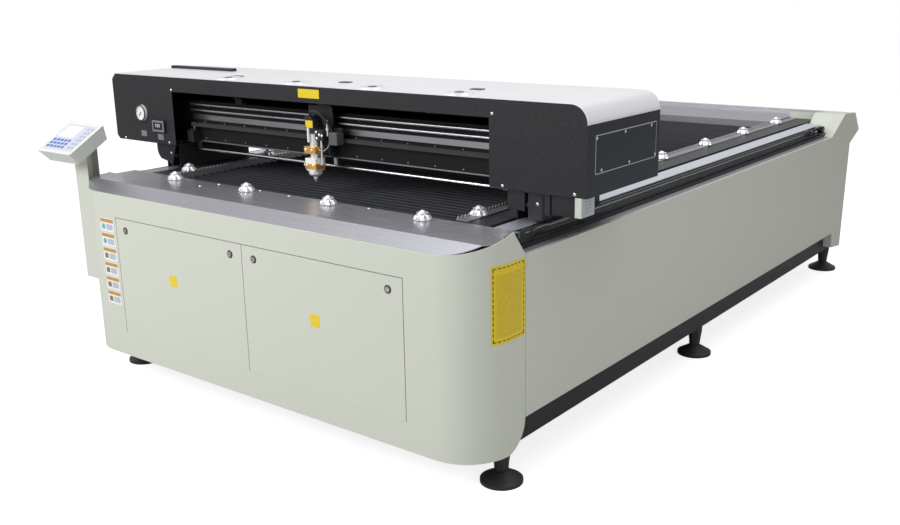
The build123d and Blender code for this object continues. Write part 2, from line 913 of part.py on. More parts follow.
def gantry_skin():
    skin = gantry_solid(0, gantry_front, gantry_rear)
    return skin - gantry_solid(sheet, gantry_front - 1, gantry_rear + 1)


def top_cover():
    """One sheet over the top, down the left chamfer and round the right-hand corner."""
    z_left = gantry_top - gantry_chamfer
    z_right = gantry_top - gantry_radius
    cover = gantry_skin() & block(gantry_left, gantry_right, gantry_front, gantry_rear, z_right, gantry_top)
    cover -= block(gantry_left - 1, 0, gantry_front - 1, gantry_rear + 1, z_right - 1, z_left)
    for x in grille_places():
        cover -= rod_along_z(x, grille_y, gantry_top - 9, gantry_top + 1, grille_radius - 8)
    return cover


def end_cover(side):
    """The side wall of the gantry box with the part of the underside next to it."""
    if side > 0:
        zone = block(window_right, gantry_right, gantry_front, gantry_rear,
                     gantry_bottom, gantry_top - gantry_radius - air_gap)
    else:
        zone = block(gantry_left, window_left, gantry_front, gantry_rear,
                     gantry_bottom, gantry_top - gantry_chamfer - air_gap)
    a, b, c, d = leg_sections()
    leg_hole = block(a - seam_gap, d + seam_gap, saddle_front - seam_gap, saddle_front + saddle_length + seam_gap,
                     gantry_bottom - 1, cross_beam_bottom)
    return (gantry_skin() & zone) - leg_hole - mirror(leg_hole, about=Plane.YZ)


def front_cover(side):
    """A flat front cover beside the window."""
    plate = gantry_solid(sheet, gantry_front, gantry_front + sheet)
    if side < 0:
        return plate & block(gantry_left, window_left, gantry_front, gantry_front + sheet, gantry_bottom, gantry_top)
    zone = block(window_right, gantry_right, gantry_front, gantry_front + sheet, gantry_bottom, gantry_top)
    zone -= block(window_right - 1, strip_right, gantry_front - 1, gantry_rear, window_top - air_gap, gantry_top + 1)
    return plate & zone


def centre_strip():
    """The strip above the window, folded back along its lower edge."""
    x0 = window_left + air_gap
    x1 = strip_right - air_gap
    strip = block(x0, x1, gantry_front, gantry_front + sheet, window_top, gantry_top - sheet)
    return strip + block(x0, x1, gantry_front, gantry_front + strip_flange, window_top, window_top + sheet)


def back_cover():
    """The back sheet of the gantry box."""
    plate = gantry_solid(sheet, gantry_rear - sheet, gantry_rear)
    return plate & block(gantry_left, gantry_right, gantry_rear - sheet, gantry_rear, gantry_bottom + 3 * sheet, gantry_top)


def side_hatch():
    """The screwed-on hatch in the right-hand end."""
    return block(gantry_right, gantry_right + hatch_thickness, gantry_front + hatch_front_inset,
                 gantry_rear - hatch_rear_inset, gantry_bottom + hatch_bottom_inset, gantry_top - hatch_top_inset)


def grille_places():
    return [grille_first + i * grille_pitch for i in range(grille_count)]


def vent_grilles():
    """Round slotted grilles in the top cover."""
    pieces = []
    slots = int((grille_radius - 12) / (2 * grille_slot))
    for x in grille_places():
        disc = rod_along_z(x, grille_y, gantry_top, gantry_top + grille_height, grille_radius)
        for i in range(-slots, slots + 1):
            y = grille_y + 2 * grille_slot * i
            reach = (grille_radius ** 2 - (2 * grille_slot * i) ** 2) ** 0.5 - 9
            disc -= block(x - reach, x + reach, y - grille_slot / 2, y + grille_slot / 2,
                          gantry_top - 1, gantry_top + grille_height + 1)
        pieces.append(disc)
    return pieces


def cable_duct():
    """The low black duct on the left of the top cover."""
    x0 = gantry_left + gantry_chamfer
    return block(x0, x0 + duct_length, duct_y - duct_depth / 2, duct_y + duct_depth / 2,
                 gantry_top, gantry_top + duct_height)


def pressure_gauge():
    """The gauge's case, screwed to the left cover, with a bush for its needle."""
    y0 = gantry_front - gauge_depth
    case = rod_along_y(gauge_x, y0, gantry_front, gauge_z, gauge_radius)
    case -= rod_along_y(gauge_x, y0 - 1, y0 + 4, gauge_z, gauge_radius - 4)
    return case - rod_along_y(gauge_x, y0, y0 + 8, gauge_z, 1.5 + bearing_gap)


def gauge_needle():
    """The gauge's needle on its spindle, pointing down to the left."""
    y0 = gantry_front - gauge_depth
    needle = rod_along_y(gauge_x, y0 + 1, y0 + 7.5, gauge_z, 1.5)
    arm = Pos(0, 0, needle_length / 2 - 3) * Box(2, 1, needle_length)
    return needle + Pos(gauge_x, y0 + 2, gauge_z) * Rot(0, -135, 0) * arm


def display_unit():
    """The small display in the left cover."""
    w = display_width / 2
    h = display_height / 2
    y0 = gantry_front - display_depth
    body = block(display_x - w, display_x + w, y0, gantry_front, display_z - h, display_z + h)
    return body - block(display_x - w + 6, display_x + w - 6, y0 - 1, y0 + 2, display_z - h + 6, display_z + h - 6)


# The gantry's structure and drive

def cross_beam():
    """The box beam that carries the head's guides."""
    y0 = cross_beam_front
    return tube_block(cross_beam_left, cross_beam_right, y0, y0 + cross_beam_depth,
                      cross_beam_bottom, cross_beam_top, cross_beam_wall, "x")


def cross_rail():
    """Two round guides on webs along the beam's face, and a bright strip below them."""
    x0 = window_left + guide_end_gap
    x1 = window_right - guide_end_gap
    pieces = []
    for z in guide_levels:
        web = block(x0, x1, guide_y, cross_beam_front, z - guide_web / 2, z + guide_web / 2)
        pieces.append(web + rod_along_x(x0, x1, guide_y, z, guide_radius))
    top = cross_beam_top - scale_drop
    pieces.append(block(x0, x1, cross_beam_front - scale_thickness, cross_beam_front, top - scale_height, top))
    return pieces


def lower_rod():
    """The bright rod under the front of the beam, on three hangers."""
    y = cross_beam_front + rod_hanger
    rod = rod_along_x(window_left, window_right, y, rod_z, rod_radius)
    half = rod_hanger / 2
    for x in (window_left + rod_hanger_inset, 0, window_right - rod_hanger_inset):
        rod += block(x - half, x + half, y - half / 2, y + half / 2, rod_z, cross_beam_bottom)
    return rod


def cross_belt():
    span = cross_pulley_right - cross_pulley_left
    loop = belt_loop(span, cross_pulley_radius, cross_belt_thickness, cross_belt_width)
    return Pos(cross_pulley_left, cross_belt_y, cross_belt_z) * loop


def cross_pulley(x):
    """A belt pulley about Z on its own shaft."""
    w = cross_belt_width / 2 + 1
    wheel = rod_along_z(x, cross_belt_y, cross_belt_z - w, cross_belt_z + w, cross_pulley_radius)
    return wheel + rod_along_z(x, cross_belt_y, cross_belt_z - w - 22, cross_belt_z + w, cross_shaft_radius)


def pulley_shelf_z():
    return cross_belt_z - cross_belt_width / 2 - 12


def cross_bracket(x):
    """A shelf on the beam's face with the pulley's bearing in it."""
    z1 = pulley_shelf_z()
    shelf = block(x - 20, x + 20, cross_belt_y - 14, cross_beam_front, z1 - 8, z1)
    return shelf - rod_along_z(x, cross_belt_y, z1 - 9, z1 + 1, cross_shaft_radius + bearing_gap)


def cross_brackets():
    return [cross_bracket(cross_pulley_left), cross_bracket(cross_pulley_right)]


def cross_motor():
    """The motor that turns the left pulley, hung under its bracket."""
    z1 = pulley_shelf_z() - 8
    w = cross_motor_width / 2
    x = cross_pulley_left
    y1 = cross_beam_front
    motor = block(x - w, x + w, y1 - cross_motor_width, y1, z1 - cross_motor_length, z1)
    return motor - rod_along_z(x, cross_belt_y, z1 - 20, z1 + 1, cross_shaft_radius + bearing_gap)


def leg_sections():
    """The x of the saddle's inner and outer walls, either side of the cover strip."""
    middle = rail_x - 8
    inner = middle - strip_half_width - saddle_side_gap
    outer = middle + strip_half_width + saddle_side_gap
    return inner - saddle_wall, inner, outer, outer + saddle_wall


def gantry_saddles():
    """A saddle on each side that wraps the cover strip and bolts up to the cross beam."""
    a, b, c, d = leg_sections()
    y0 = saddle_front
    y1 = saddle_front + saddle_length
    top = cross_beam_bottom - cross_beam_wall
    walls = block(a, d, y0, y1, saddle_bottom, cross_beam_bottom)
    walls -= block(b, c, y0 - 1, y1 + 1, saddle_bottom + saddle_plate, top)
    clamp_x1 = base_belt_x + base_belt_width / 2
    clamp_z = base_pulley_z + base_pulley_radius + base_belt_thickness + 2 * air_gap
    y = (y0 + y1 - clamp_length) / 2
    walls += block(d - 1, clamp_x1, y, y + clamp_length, clamp_z, clamp_z + 16)
    return both_sides(walls)


def rail_blocks():
    """Linear bearing blocks on the rails, two to a side."""
    pieces = []
    w = block_width / 2
    slot = rail_width / 2 + air_gap
    for y in (saddle_front, saddle_front + saddle_length - block_length):
        body = block(rail_x - 8 - w, rail_x - 8 + w, y, y + block_length, beam_top + 6, saddle_bottom)
        body -= block(rail_x - slot, rail_x + slot, y - 1, y + block_length + 1,
                      beam_top, beam_top + rail_height + air_gap)
        pieces += both_sides(body)
    return pieces


def leg_plates():
    """Black plates that close the front of each leg, notched over the cover strip."""
    b, c = leg_sections()[1:3]
    y0 = leg_plate_y
    y1 = y0 + leg_plate
    z0 = strip_top + leg_plate_gap
    z1 = gantry_bottom
    apron = z1 - leg_apron_height
    slot_x = leg_inner + leg_apron_inset
    bar_left = limit_bar_x - limit_bar_width / 2
    plate = block(leg_inner, end_block_x - seam_gap, y0, y1, apron, z1)
    plate += block(slot_x, bar_left - leg_slot, y0, y1, z0, z1)
    for x in (slot_x, bar_left - leg_slot):
        plate -= block(x, x + leg_slot, y0 - 1, y1 + 1, z0 - 1, z1 - leg_plate_gap)
    outer = leg_sections()[3]
    fairing = [(-outer - out, z1 - drop) for out, drop in leg_fairing]
    ties = both_sides(block(b + seam_gap, c - seam_gap, y1, saddle_front, apron + leg_slot, apron + 2 * leg_slot))
    return [plate, prism_y(fairing, y0, y1)] + ties


def limit_bar():
    """The pale bar on the right leg that trips the end switches."""
    w = limit_bar_width / 2
    return block(limit_bar_x - w, limit_bar_x + w, leg_plate_y - limit_bar_depth, leg_plate_y,
                 gantry_bottom - limit_bar_height, gantry_bottom)


def end_block():
    """The pale block under the right end of the gantry."""
    return block(end_block_x, end_block_x + end_block_width, gantry_front, gantry_front + end_block_length,
                 gantry_bottom - end_block_height, gantry_bottom)


def end_brackets():
    """Angle plates from the cross beam to the gantry box's underside."""
    x0 = leg_sections()[3] + seam_gap
    y0 = cross_beam_front + 20
    y1 = cross_beam_front + cross_beam_depth - 20
    floor = gantry_bottom + sheet
    return both_sides(block(x0 + 4, x0 + 64, y0, y1, floor, cross_beam_bottom))


def laser_tube():
    """The sealed glass tube with its narrower electrode ends."""
    x = laser_length / 2
    tube = rod_along_x(-x, x, laser_y, laser_z, laser_radius)
    for side in (1, -1):
        ends = sorted((side * x, side * (x + 60)))
        tube += rod_along_x(ends[0], ends[1], laser_y, laser_z, laser_radius * 0.5)
    return tube


def laser_holders():
    """Two clamp blocks on a shelf behind the cross beam."""
    y0 = cross_beam_front + cross_beam_depth
    y1 = gantry_rear - sheet - seam_gap
    z0 = laser_z - laser_radius - holder_rise
    half = laser_radius + holder_thickness
    holders = block(window_left + holder_rise, window_right - holder_rise, y0, y1, z0 - holder_shelf, z0)
    for x in (-laser_length / 3, laser_length / 3):
        holders += block(x, x + holder_thickness, laser_y - half, laser_y + half, z0 - 1, laser_z + half)
    return holders - rod_along_x(window_left, window_right, laser_y, laser_z, laser_radius)


def beam_mirrors():
    """The turning mirror over the beam: an angle bracket, a mirror plate and two knobs."""
    x = mirror_x
    y0 = cross_beam_front - 24
    z0 = cross_beam_top
    foot = block(x - 22, x + 22, cross_beam_front, cross_beam_front + 40, z0, z0 + 6)
    web = block(x - 4, x + 4, y0, cross_beam_front + 40, z0 + 4, z0 + 40)
    plate = block(x - 20, x + 20, y0, y0 + 6, z0 + 4, z0 + 40)
    knobs = [rod_along_y(x + dx, y0 - 8, y0, z0 + 28, 5) for dx in (-12, 12)]
    return [foot + web + plate] + knobs


# The cutting head

def head_block():
    """The linear bearing block that runs on both round guides."""
    w = head_plate_width / 2
    y0 = head_plate_back
    high, low = guide_levels
    body = block(head_x - w, head_x + w, y0, y0 + head_block_depth,
                 low - guide_radius - head_block_margin, high + guide_radius + head_block_margin)
    for z in guide_levels:
        body -= rod_along_x(head_x - w - 1, head_x + w + 1, guide_y, z, guide_radius + air_gap)
        slot = guide_web / 2 + air_gap
        body -= block(head_x - w - 1, head_x + w + 1, guide_y, cross_beam_front, z - slot, z + slot)
    return body


def head_plate():
    """The black carriage plate with its belt clamp and the collar the lens tube slides in."""
    w = head_plate_width / 2
    y1 = head_plate_back
    y0 = y1 - head_plate_thickness
    plate = block(head_x - w, head_x + w, y0, y1, head_plate_bottom, head_plate_top)
    belt_face = cross_belt_y - cross_pulley_radius - cross_belt_thickness - 2 * air_gap
    plate += block(head_x - 20, head_x + 20, y1 - 1, belt_face, cross_belt_z - 6, cross_belt_z + 6)
    z0 = head_plate_bottom + 10
    collar = rod_along_z(head_x, head_y, z0, z0 + collar_height, lens_radius + collar_wall)
    collar += block(head_x - 14, head_x + 14, head_y + 10, y0 + 1, z0, z0 + collar_height)
    plate += collar
    return plate - rod_along_z(head_x, head_y, z0 - 1, z0 + collar_height + 1, lens_radius + bearing_gap)


def head_mirror():
    """The last mirror's square housing with a cut corner, a window and two knobs."""
    h = mirror_box / 2
    z0 = lens_top + lift_up + 5
    y1 = head_plate_back - head_plate_thickness
    box = block(head_x - h, head_x + h, y1 - 2 * h - 8, y1, z0, z0 + mirror_box)
    corner = Pos(head_x + h, y1 - h, z0 + mirror_box) * Rot(0, 45, 0) * Box(h, 4 * mirror_box, h)
    box -= corner
    box -= rod_along_z(head_x, head_y, z0 - 1, z0 + mirror_box - 16, beam_bore)
    box -= rod_along_x(head_x - h - 1, head_x, head_y, z0 + h, beam_bore)
    return box


def head_motor():
    """The lift motor beside the mirror housing, on the carriage plate."""
    w = head_motor_width / 2
    y1 = head_plate_back - head_plate_thickness
    x = head_x + mirror_box / 2 + 8
    z0 = head_plate_bottom + 60
    body = block(x - w + 8, x + w + 8, y1 - head_motor_width, y1, z0, z0 + head_motor_height)
    return body - rod_along_z(lift_rod_x(), head_y, z0 - 1, z0 + head_motor_height + 1, 4 + bearing_gap)


def lift_rod_x():
    return head_x + mirror_box / 2 + 16


def lens_tube():
    """The lens tube with the arm and rod that the lift motor moves."""
    tube = rod_along_z(head_x, head_y, lens_bottom, lens_top, lens_radius)
    arm_z = lens_bottom + 14
    arm = block(head_x, lift_rod_x() + 7, head_y - 7, head_y + 7, arm_z - 8, arm_z)
    rod = rod_along_z(lift_rod_x(), head_y, arm_z - 1, head_plate_bottom + 60 + head_motor_height - 2, 4)
    return tube + arm + rod - rod_along_z(head_x, head_y, lens_bottom - 1, lens_top + 1, beam_bore)


def ceramic_ring():
    """The white insulating ring between the lens tube and the nozzle."""
    ring = rod_along_z(head_x, head_y, lens_bottom - ceramic_height, lens_bottom, ceramic_radius)
    return ring - rod_along_z(head_x, head_y, lens_bottom - ceramic_height - 1, lens_bottom + 1, beam_bore)


def nozzle():
    """The silver nozzle: a squat dome with a tapered tip, and an air fitting on its side."""
    top = lens_bottom - ceramic_height
    rim = top - nozzle_dome_height
    points = [(0, nozzle_bottom), (nozzle_tip_radius, nozzle_bottom), (nozzle_neck_radius, nozzle_bottom + 12)]
    points += [(nozzle_neck_radius, rim - 4), (nozzle_radius, rim), (nozzle_radius * 1.35, rim + 8)]
    points += [(nozzle_radius * 1.35, top - 8), (nozzle_radius, top), (0, top)]
    body = Pos(head_x, head_y, 0) * revolve(Face(Wire.make_polygon([(u, 0, v) for u, v in points])), Axis.Z)
    body += rod_along_x(head_x - nozzle_radius * 1.35 - 10, head_x, head_y, top - nozzle_dome_height / 2, 4)
    return body - rod_along_z(head_x, head_y, nozzle_bottom - 1, top + 1, nozzle_tip_radius / 2)


def build():
    """Every sub-part by name: a solid, or a list of solids that share a node."""
    nodes = {
        "base_frame": base_frame() + [cabinet_shelf()],
        "levelling_feet": foot_pads() + foot_studs(),
        "front_shell": front_shell(),
        "side_panel_left": side_panel(-1),
        "side_panel_right": side_panel(1),
        "rear_shell": rear_shell(),
        "access_panel_left": access_panel(-1),
        "access_panel_right": access_panel(1),
        "rail_beams": rail_beams() + pulley_brackets(),
        "linear_rails": linear_rails(),
        "cover_strips": cover_strips(),
        "base_belts": base_belts(),
        "base_drive_shaft": base_drive_shaft(),
        "base_idlers": base_idlers(),
        "base_motor": base_motor(),
        "side_bands": side_bands(),
        "comb_strips": comb_strips(),
        "knife_blades": knife_blades(),
        "exhaust_tray": exhaust_tray(),
        "front_plate": front_plate(),
        "rear_plate": rear_plate(),
        "ball_transfer_units": ball_units(),
        "cabinet_electronics": [laser_supply()] + motor_drivers(),
        "control_stand": control_stand(),
        "console_box": console_box(),
        "keypad": keypad(),
        "top_cover": top_cover(),
        "end_covers": [end_cover(-1), end_cover(1)],
        "front_cover_left": front_cover(-1),
        "front_cover_right": front_cover(1),
        "centre_strip": centre_strip(),
        "back_cover": back_cover(),
        "side_hatch": side_hatch(),
        "vent_grilles": vent_grilles(),
        "cable_duct": cable_duct(),
        "pressure_gauge": pressure_gauge(),
        "gauge_needle": gauge_needle(),
        "display_unit": display_unit(),
        "cross_beam": cross_beam(),
        "cross_rail": cross_rail(),
        "lower_rod": lower_rod(),
        "cross_belt": cross_belt(),
        "cross_pulley_left": cross_pulley(cross_pulley_left),
        "cross_pulley_right": cross_pulley(cross_pulley_right),
        "cross_motor": [cross_motor()] + cross_brackets(),
        "gantry_saddles": gantry_saddles() + end_brackets(),
        "rail_blocks": rail_blocks(),
        "leg_plates": leg_plates() + [limit_bar()],
        "end_block": end_block(),
        "laser_tube": laser_tube(),
        "laser_holders": laser_holders(),
        "beam_mirrors": beam_mirrors(),
        "head_carriage": [head_plate(), head_block(), head_mirror(), head_motor()],
        "lens_tube": lens_tube(),
        "ceramic_ring": ceramic_ring(),
        "nozzle": nozzle(),
    }
    for x in latch_places():
        place = "inner" if x < opening_half_width / 2 else "outer"
        nodes["latch_right_" + place] = latch(x)
        nodes["latch_left_" + place] = latch(-x)
    return nodes


def as_compound(shape):
    """One compound of a node's solids."""
    pieces = shape if isinstance(shape, list) else [shape]
    solids = [solid for piece in pieces for solid in piece.solids()]
    return Compound(solids)


nodes = {name: as_compound(shape) for name, shape in build().items()}
box = Compound(list(nodes.values())).bounding_box()
middle = Pos(-(box.min.X + box.max.X) / 2, -(box.min.Y + box.max.Y) / 2, -box.min.Z)
os.makedirs("parts", exist_ok=True)
for name, shape in nodes.items():
    export_step(middle * shape, "parts/" + name + ".step")
print(len(nodes), "nodes; the middle of the base moved by", middle.position)
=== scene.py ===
import math

import bmesh
import bpy
import numpy as np
from mathutils import Matrix, Vector


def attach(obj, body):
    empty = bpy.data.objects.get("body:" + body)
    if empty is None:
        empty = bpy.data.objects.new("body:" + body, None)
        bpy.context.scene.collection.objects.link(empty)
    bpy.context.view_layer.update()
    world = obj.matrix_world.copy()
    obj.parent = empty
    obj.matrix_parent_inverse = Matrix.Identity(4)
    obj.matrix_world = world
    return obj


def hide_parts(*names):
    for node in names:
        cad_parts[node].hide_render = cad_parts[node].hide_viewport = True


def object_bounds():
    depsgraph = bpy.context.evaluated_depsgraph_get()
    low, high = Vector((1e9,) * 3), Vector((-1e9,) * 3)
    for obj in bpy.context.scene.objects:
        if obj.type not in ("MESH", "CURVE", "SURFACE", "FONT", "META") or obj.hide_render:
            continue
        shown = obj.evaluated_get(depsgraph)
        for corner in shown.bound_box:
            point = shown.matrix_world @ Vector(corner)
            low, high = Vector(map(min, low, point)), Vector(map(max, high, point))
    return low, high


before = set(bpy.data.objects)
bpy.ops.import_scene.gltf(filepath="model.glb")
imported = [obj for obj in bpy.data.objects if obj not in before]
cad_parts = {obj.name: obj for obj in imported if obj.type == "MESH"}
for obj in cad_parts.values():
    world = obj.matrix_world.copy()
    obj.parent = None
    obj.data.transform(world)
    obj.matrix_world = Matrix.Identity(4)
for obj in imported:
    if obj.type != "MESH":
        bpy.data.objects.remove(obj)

CAD_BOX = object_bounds()


# Studio. The machine stands on a pale floor in front of plain white, under one large soft lamp from
# the front left, a softer one from above and a weak one along the right side. The camera stands
# near the right front corner, at eye height, and looks along the body.
EYE = Vector((2.857, -4.1705, 1.647))
EYE_YAW = math.radians(-38.2376)
EYE_PITCH = math.radians(15.4342)
EYE_ROLL = math.radians(-0.9658)
EYE_LENS = 40.33
EYE_SENSOR = 36.0


def place_camera():
    """Looks along (sin yaw x cos pitch, cos yaw x cos pitch, -sin pitch), rolled about it."""
    data = bpy.data.cameras.new("eye")
    data.lens = EYE_LENS
    data.sensor_width = EYE_SENSOR
    camera = bpy.data.objects.new("eye", data)
    bpy.context.scene.collection.objects.link(camera)
    flat = math.cos(EYE_PITCH)
    ahead = Vector((math.sin(EYE_YAW) * flat, math.cos(EYE_YAW) * flat, -math.sin(EYE_PITCH)))
    level = Vector((math.cos(EYE_YAW), -math.sin(EYE_YAW), 0.0))
    upright = level.cross(ahead)
    right = level * math.cos(EYE_ROLL) + upright * math.sin(EYE_ROLL)
    up = upright * math.cos(EYE_ROLL) - level * math.sin(EYE_ROLL)
    turn = Matrix((right, up, -ahead)).transposed().to_4x4()
    camera.matrix_world = Matrix.Translation(EYE) @ turn
    bpy.context.scene.camera = camera


def place_lamp(name, spot, aim, width, height, watts):
    """A flat soft box of width by height metres at spot, turned to face aim."""
    data = bpy.data.lights.new(name, "AREA")
    data.shape = "RECTANGLE"
    data.size = width
    data.size_y = height
    data.energy = watts
    lamp = bpy.data.objects.new(name, data)
    bpy.context.scene.collection.objects.link(lamp)
    facing = (Vector(aim) - Vector(spot)).to_track_quat("-Z", "Y")
    lamp.matrix_world = Matrix.Translation(spot) @ facing.to_matrix().to_4x4()


def bare_nodes(owner):
    """Turns a world's or material's nodes on, empties its tree, and gives its nodes and links."""
    owner.use_nodes = True
    tree = owner.node_tree
    tree.nodes.clear()
    return tree.nodes, tree.links


WORLD_LIGHT = 0.45
WORLD_GLOSS = 0.8


def white_surround():
    """The world lights evenly, is bright to gloss, and is plain white to the camera."""
    world = bpy.data.worlds.new("surround")
    bpy.context.scene.world = world
    nodes, links = bare_nodes(world)
    light_path = nodes.new("ShaderNodeLightPath")
    seen = nodes.new("ShaderNodeMath")
    seen.operation = "MAXIMUM"
    links.new(light_path.outputs["Is Camera Ray"], seen.inputs[0])
    links.new(light_path.outputs["Is Transmission Ray"], seen.inputs[1])
    ambient = nodes.new("ShaderNodeBackground")
    ambient.inputs["Strength"].default_value = WORLD_LIGHT
    white = nodes.new("ShaderNodeBackground")
    white.inputs["Color"].default_value = (1.0, 1.0, 1.0, 1.0)
    glossy = nodes.new("ShaderNodeBackground")
    glossy.inputs["Strength"].default_value = WORLD_GLOSS
    first = nodes.new("ShaderNodeMixShader")
    second = nodes.new("ShaderNodeMixShader")
    links.new(light_path.outputs["Is Glossy Ray"], first.inputs[0])
    links.new(ambient.outputs[0], first.inputs[1])
    links.new(glossy.outputs[0], first.inputs[2])
    links.new(seen.outputs[0], second.inputs[0])
    links.new(first.outputs[0], second.inputs[1])
    links.new(white.outputs[0], second.inputs[2])
    output = nodes.new("ShaderNodeOutputWorld")
    links.new(second.outputs[0], output.inputs["Surface"])


FLOOR_HALF = 30.0
FLOOR_SPECKLE = 3.0
FLOOR_TONES = (0.54, 0.56)
FLOOR_GLOW = 0.80


def pale_matt():
    """Matt with a faint speckle; what the camera sees also glows, so that only its shadows show."""
    pale = bpy.data.materials.new("pale_floor")
    nodes, links = bare_nodes(pale)
    light_path = nodes.new("ShaderNodeLightPath")
    speckle = nodes.new("ShaderNodeTexNoise")
    speckle.inputs["Scale"].default_value = FLOOR_SPECKLE
    tone = nodes.new("ShaderNodeMapRange")
    tone.inputs["To Min"].default_value = FLOOR_TONES[0]
    tone.inputs["To Max"].default_value = FLOOR_TONES[1]
    matt = nodes.new("ShaderNodeBsdfDiffuse")
    glow = nodes.new("ShaderNodeEmission")
    glow.inputs["Strength"].default_value = FLOOR_GLOW
    both = nodes.new("ShaderNodeAddShader")
    choice = nodes.new("ShaderNodeMixShader")
    output = nodes.new("ShaderNodeOutputMaterial")
    links.new(speckle.outputs["Fac"], tone.inputs["Value"])
    links.new(tone.outputs["Result"], matt.inputs["Color"])
    links.new(matt.outputs[0], both.inputs[0])
    links.new(glow.outputs[0], both.inputs[1])
    links.new(light_path.outputs["Is Camera Ray"], choice.inputs[0])
    links.new(matt.outputs[0], choice.inputs[1])
    links.new(both.outputs[0], choice.inputs[2])
    links.new(choice.outputs[0], output.inputs["Surface"])
    return pale


def pale_floor():
    """A wide level square at the height of the feet."""
    level = CAD_BOX[0][2]
    corners = np.array([(-1, -1), (1, -1), (1, 1), (-1, 1)]) * FLOOR_HALF
    mesh = bpy.data.meshes.new("floor")
    mesh.from_pydata([(x, y, level) for x, y in corners.tolist()], [], [(0, 1, 2, 3)])
    floor = bpy.data.objects.new("floor", mesh)
    bpy.context.scene.collection.objects.link(floor)
    mesh.materials.append(pale_matt())


place_camera()
place_lamp("front_box", (-2.2, -7.0, 4.2), (0.0, -1.8, 0.5), 5.0, 3.4, 350.0)
place_lamp("side_box", (6.5, -2.6, 2.4), (1.1, 0.2, 0.5), 3.0, 2.0, 60.0)
place_lamp("top_box", (0.4, -0.6, 5.6), (0.2, -0.4, 0.0), 6.0, 6.0, 200.0)
white_surround()
pale_floor()
bpy.context.scene.view_settings.view_transform = "Standard"


# Painted shells. The front shell, side panels, rear shell, access panels, console stand and end
# block are folded mild steel, sprayed in one satin ivory powder coat. The coat has a fine orange
# peel, wanders a little in tone over each large sheet, and is dulled by handling.
IVORY = (0.600, 0.622, 0.545)
IVORY_SHADED = (0.565, 0.590, 0.520)
IVORY_COAT = 0.12
PATCH_DETAIL = 3.0
GRAIN_DETAIL = 4.0
NOISE_SPAN = (0.3, 0.7)


def slow_tone(nodes, links, where, tones, patch):
    """Tone = first + (second - first) x a slow noise, patch waves to the metre."""
    slow = nodes.new("ShaderNodeTexNoise")
    slow.inputs["Scale"].default_value = patch
    slow.inputs["Detail"].default_value = PATCH_DETAIL
    blend = nodes.new("ShaderNodeMix")
    blend.data_type = "RGBA"
    blend.inputs[6].default_value = (*tones[0], 1.0)
    blend.inputs[7].default_value = (*tones[1], 1.0)
    links.new(where.outputs["Object"], slow.inputs["Vector"])
    links.new(slow.outputs["Fac"], blend.inputs["Factor"])
    return blend.outputs[2]


def fine_noise(nodes, links, where, grain):
    """A fine noise at the place times grain; unequal numbers draw it out into brush lines."""
    stretch = nodes.new("ShaderNodeMapping")
    stretch.inputs["Scale"].default_value = grain
    fine = nodes.new("ShaderNodeTexNoise")
    fine.inputs["Scale"].default_value = 1.0
    fine.inputs["Detail"].default_value = GRAIN_DETAIL
    links.new(where.outputs["Object"], stretch.inputs["Vector"])
    links.new(stretch.outputs["Vector"], fine.inputs["Vector"])
    return fine.outputs["Fac"]


def grainy(name, tones, shine, metallic=0.0, patch=2.0, grain=(300.0, 300.0, 300.0), relief=0.05,
           bite=0.0002, gleam=0.5):
    """A worked surface on Object coordinates. The tone wanders slowly; roughness runs over the
    range shine with the fine noise, which is also the surface's height, times relief and bite."""
    made = bpy.data.materials.new(name)
    made.use_nodes = True
    nodes, links = made.node_tree.nodes, made.node_tree.links
    surface = nodes["Principled BSDF"]
    surface.inputs["Metallic"].default_value = metallic
    surface.inputs["Specular IOR Level"].default_value = gleam
    where = nodes.new("ShaderNodeTexCoord")
    links.new(slow_tone(nodes, links, where, tones, patch), surface.inputs["Base Color"])
    fine = fine_noise(nodes, links, where, grain)
    rough = nodes.new("ShaderNodeMapRange")
    rough.inputs["From Min"].default_value = NOISE_SPAN[0]
    rough.inputs["From Max"].default_value = NOISE_SPAN[1]
    rough.inputs["To Min"].default_value = shine[0]
    rough.inputs["To Max"].default_value = shine[1]
    links.new(fine, rough.inputs["Value"])
    links.new(rough.outputs["Result"], surface.inputs["Roughness"])
    height = nodes.new("ShaderNodeBump")
    height.inputs["Strength"].default_value = relief
    height.inputs["Distance"].default_value = bite
    links.new(fine, height.inputs["Height"])
    links.new(height.outputs["Normal"], surface.inputs["Normal"])
    return made


def dress(material, *names):
    """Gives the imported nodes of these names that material, in every slot they have."""
    for name in names:
        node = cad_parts[name]
        for place in node.material_slots:
            place.material = material


ivory_coat = grainy("ivory_coat", (IVORY, IVORY_SHADED), (0.30, 0.40), patch=1.1,
                    grain=(420.0, 420.0, 420.0), relief=0.10)
ivory_surface = ivory_coat.node_tree.nodes["Principled BSDF"]
ivory_surface.inputs["Coat Weight"].default_value = IVORY_COAT
dress(ivory_coat, "front_shell", "side_panel_left", "side_panel_right", "rear_shell")
dress(ivory_coat, "access_panel_left", "access_panel_right", "control_stand", "end_block")


# Welded frame. Box tubes carry the table, with sills along both sides; the side bands, tray,
# saddles and tube holders are painted the same semi-gloss black. The feet are black castings.
frame_black = grainy("frame_black", ((0.012, 0.013, 0.016), (0.020, 0.021, 0.025)), (0.36, 0.50),
                     patch=3.0, grain=(260.0, 260.0, 260.0), relief=0.12, gleam=0.3)
foot_black = grainy("foot_black", ((0.018, 0.018, 0.019), (0.030, 0.030, 0.031)), (0.42, 0.62),
                    patch=9.0, grain=(500.0, 500.0, 500.0), relief=0.25)
dress(frame_black, "base_frame", "rail_beams", "side_bands", "exhaust_tray")
dress(foot_black, "levelling_feet")


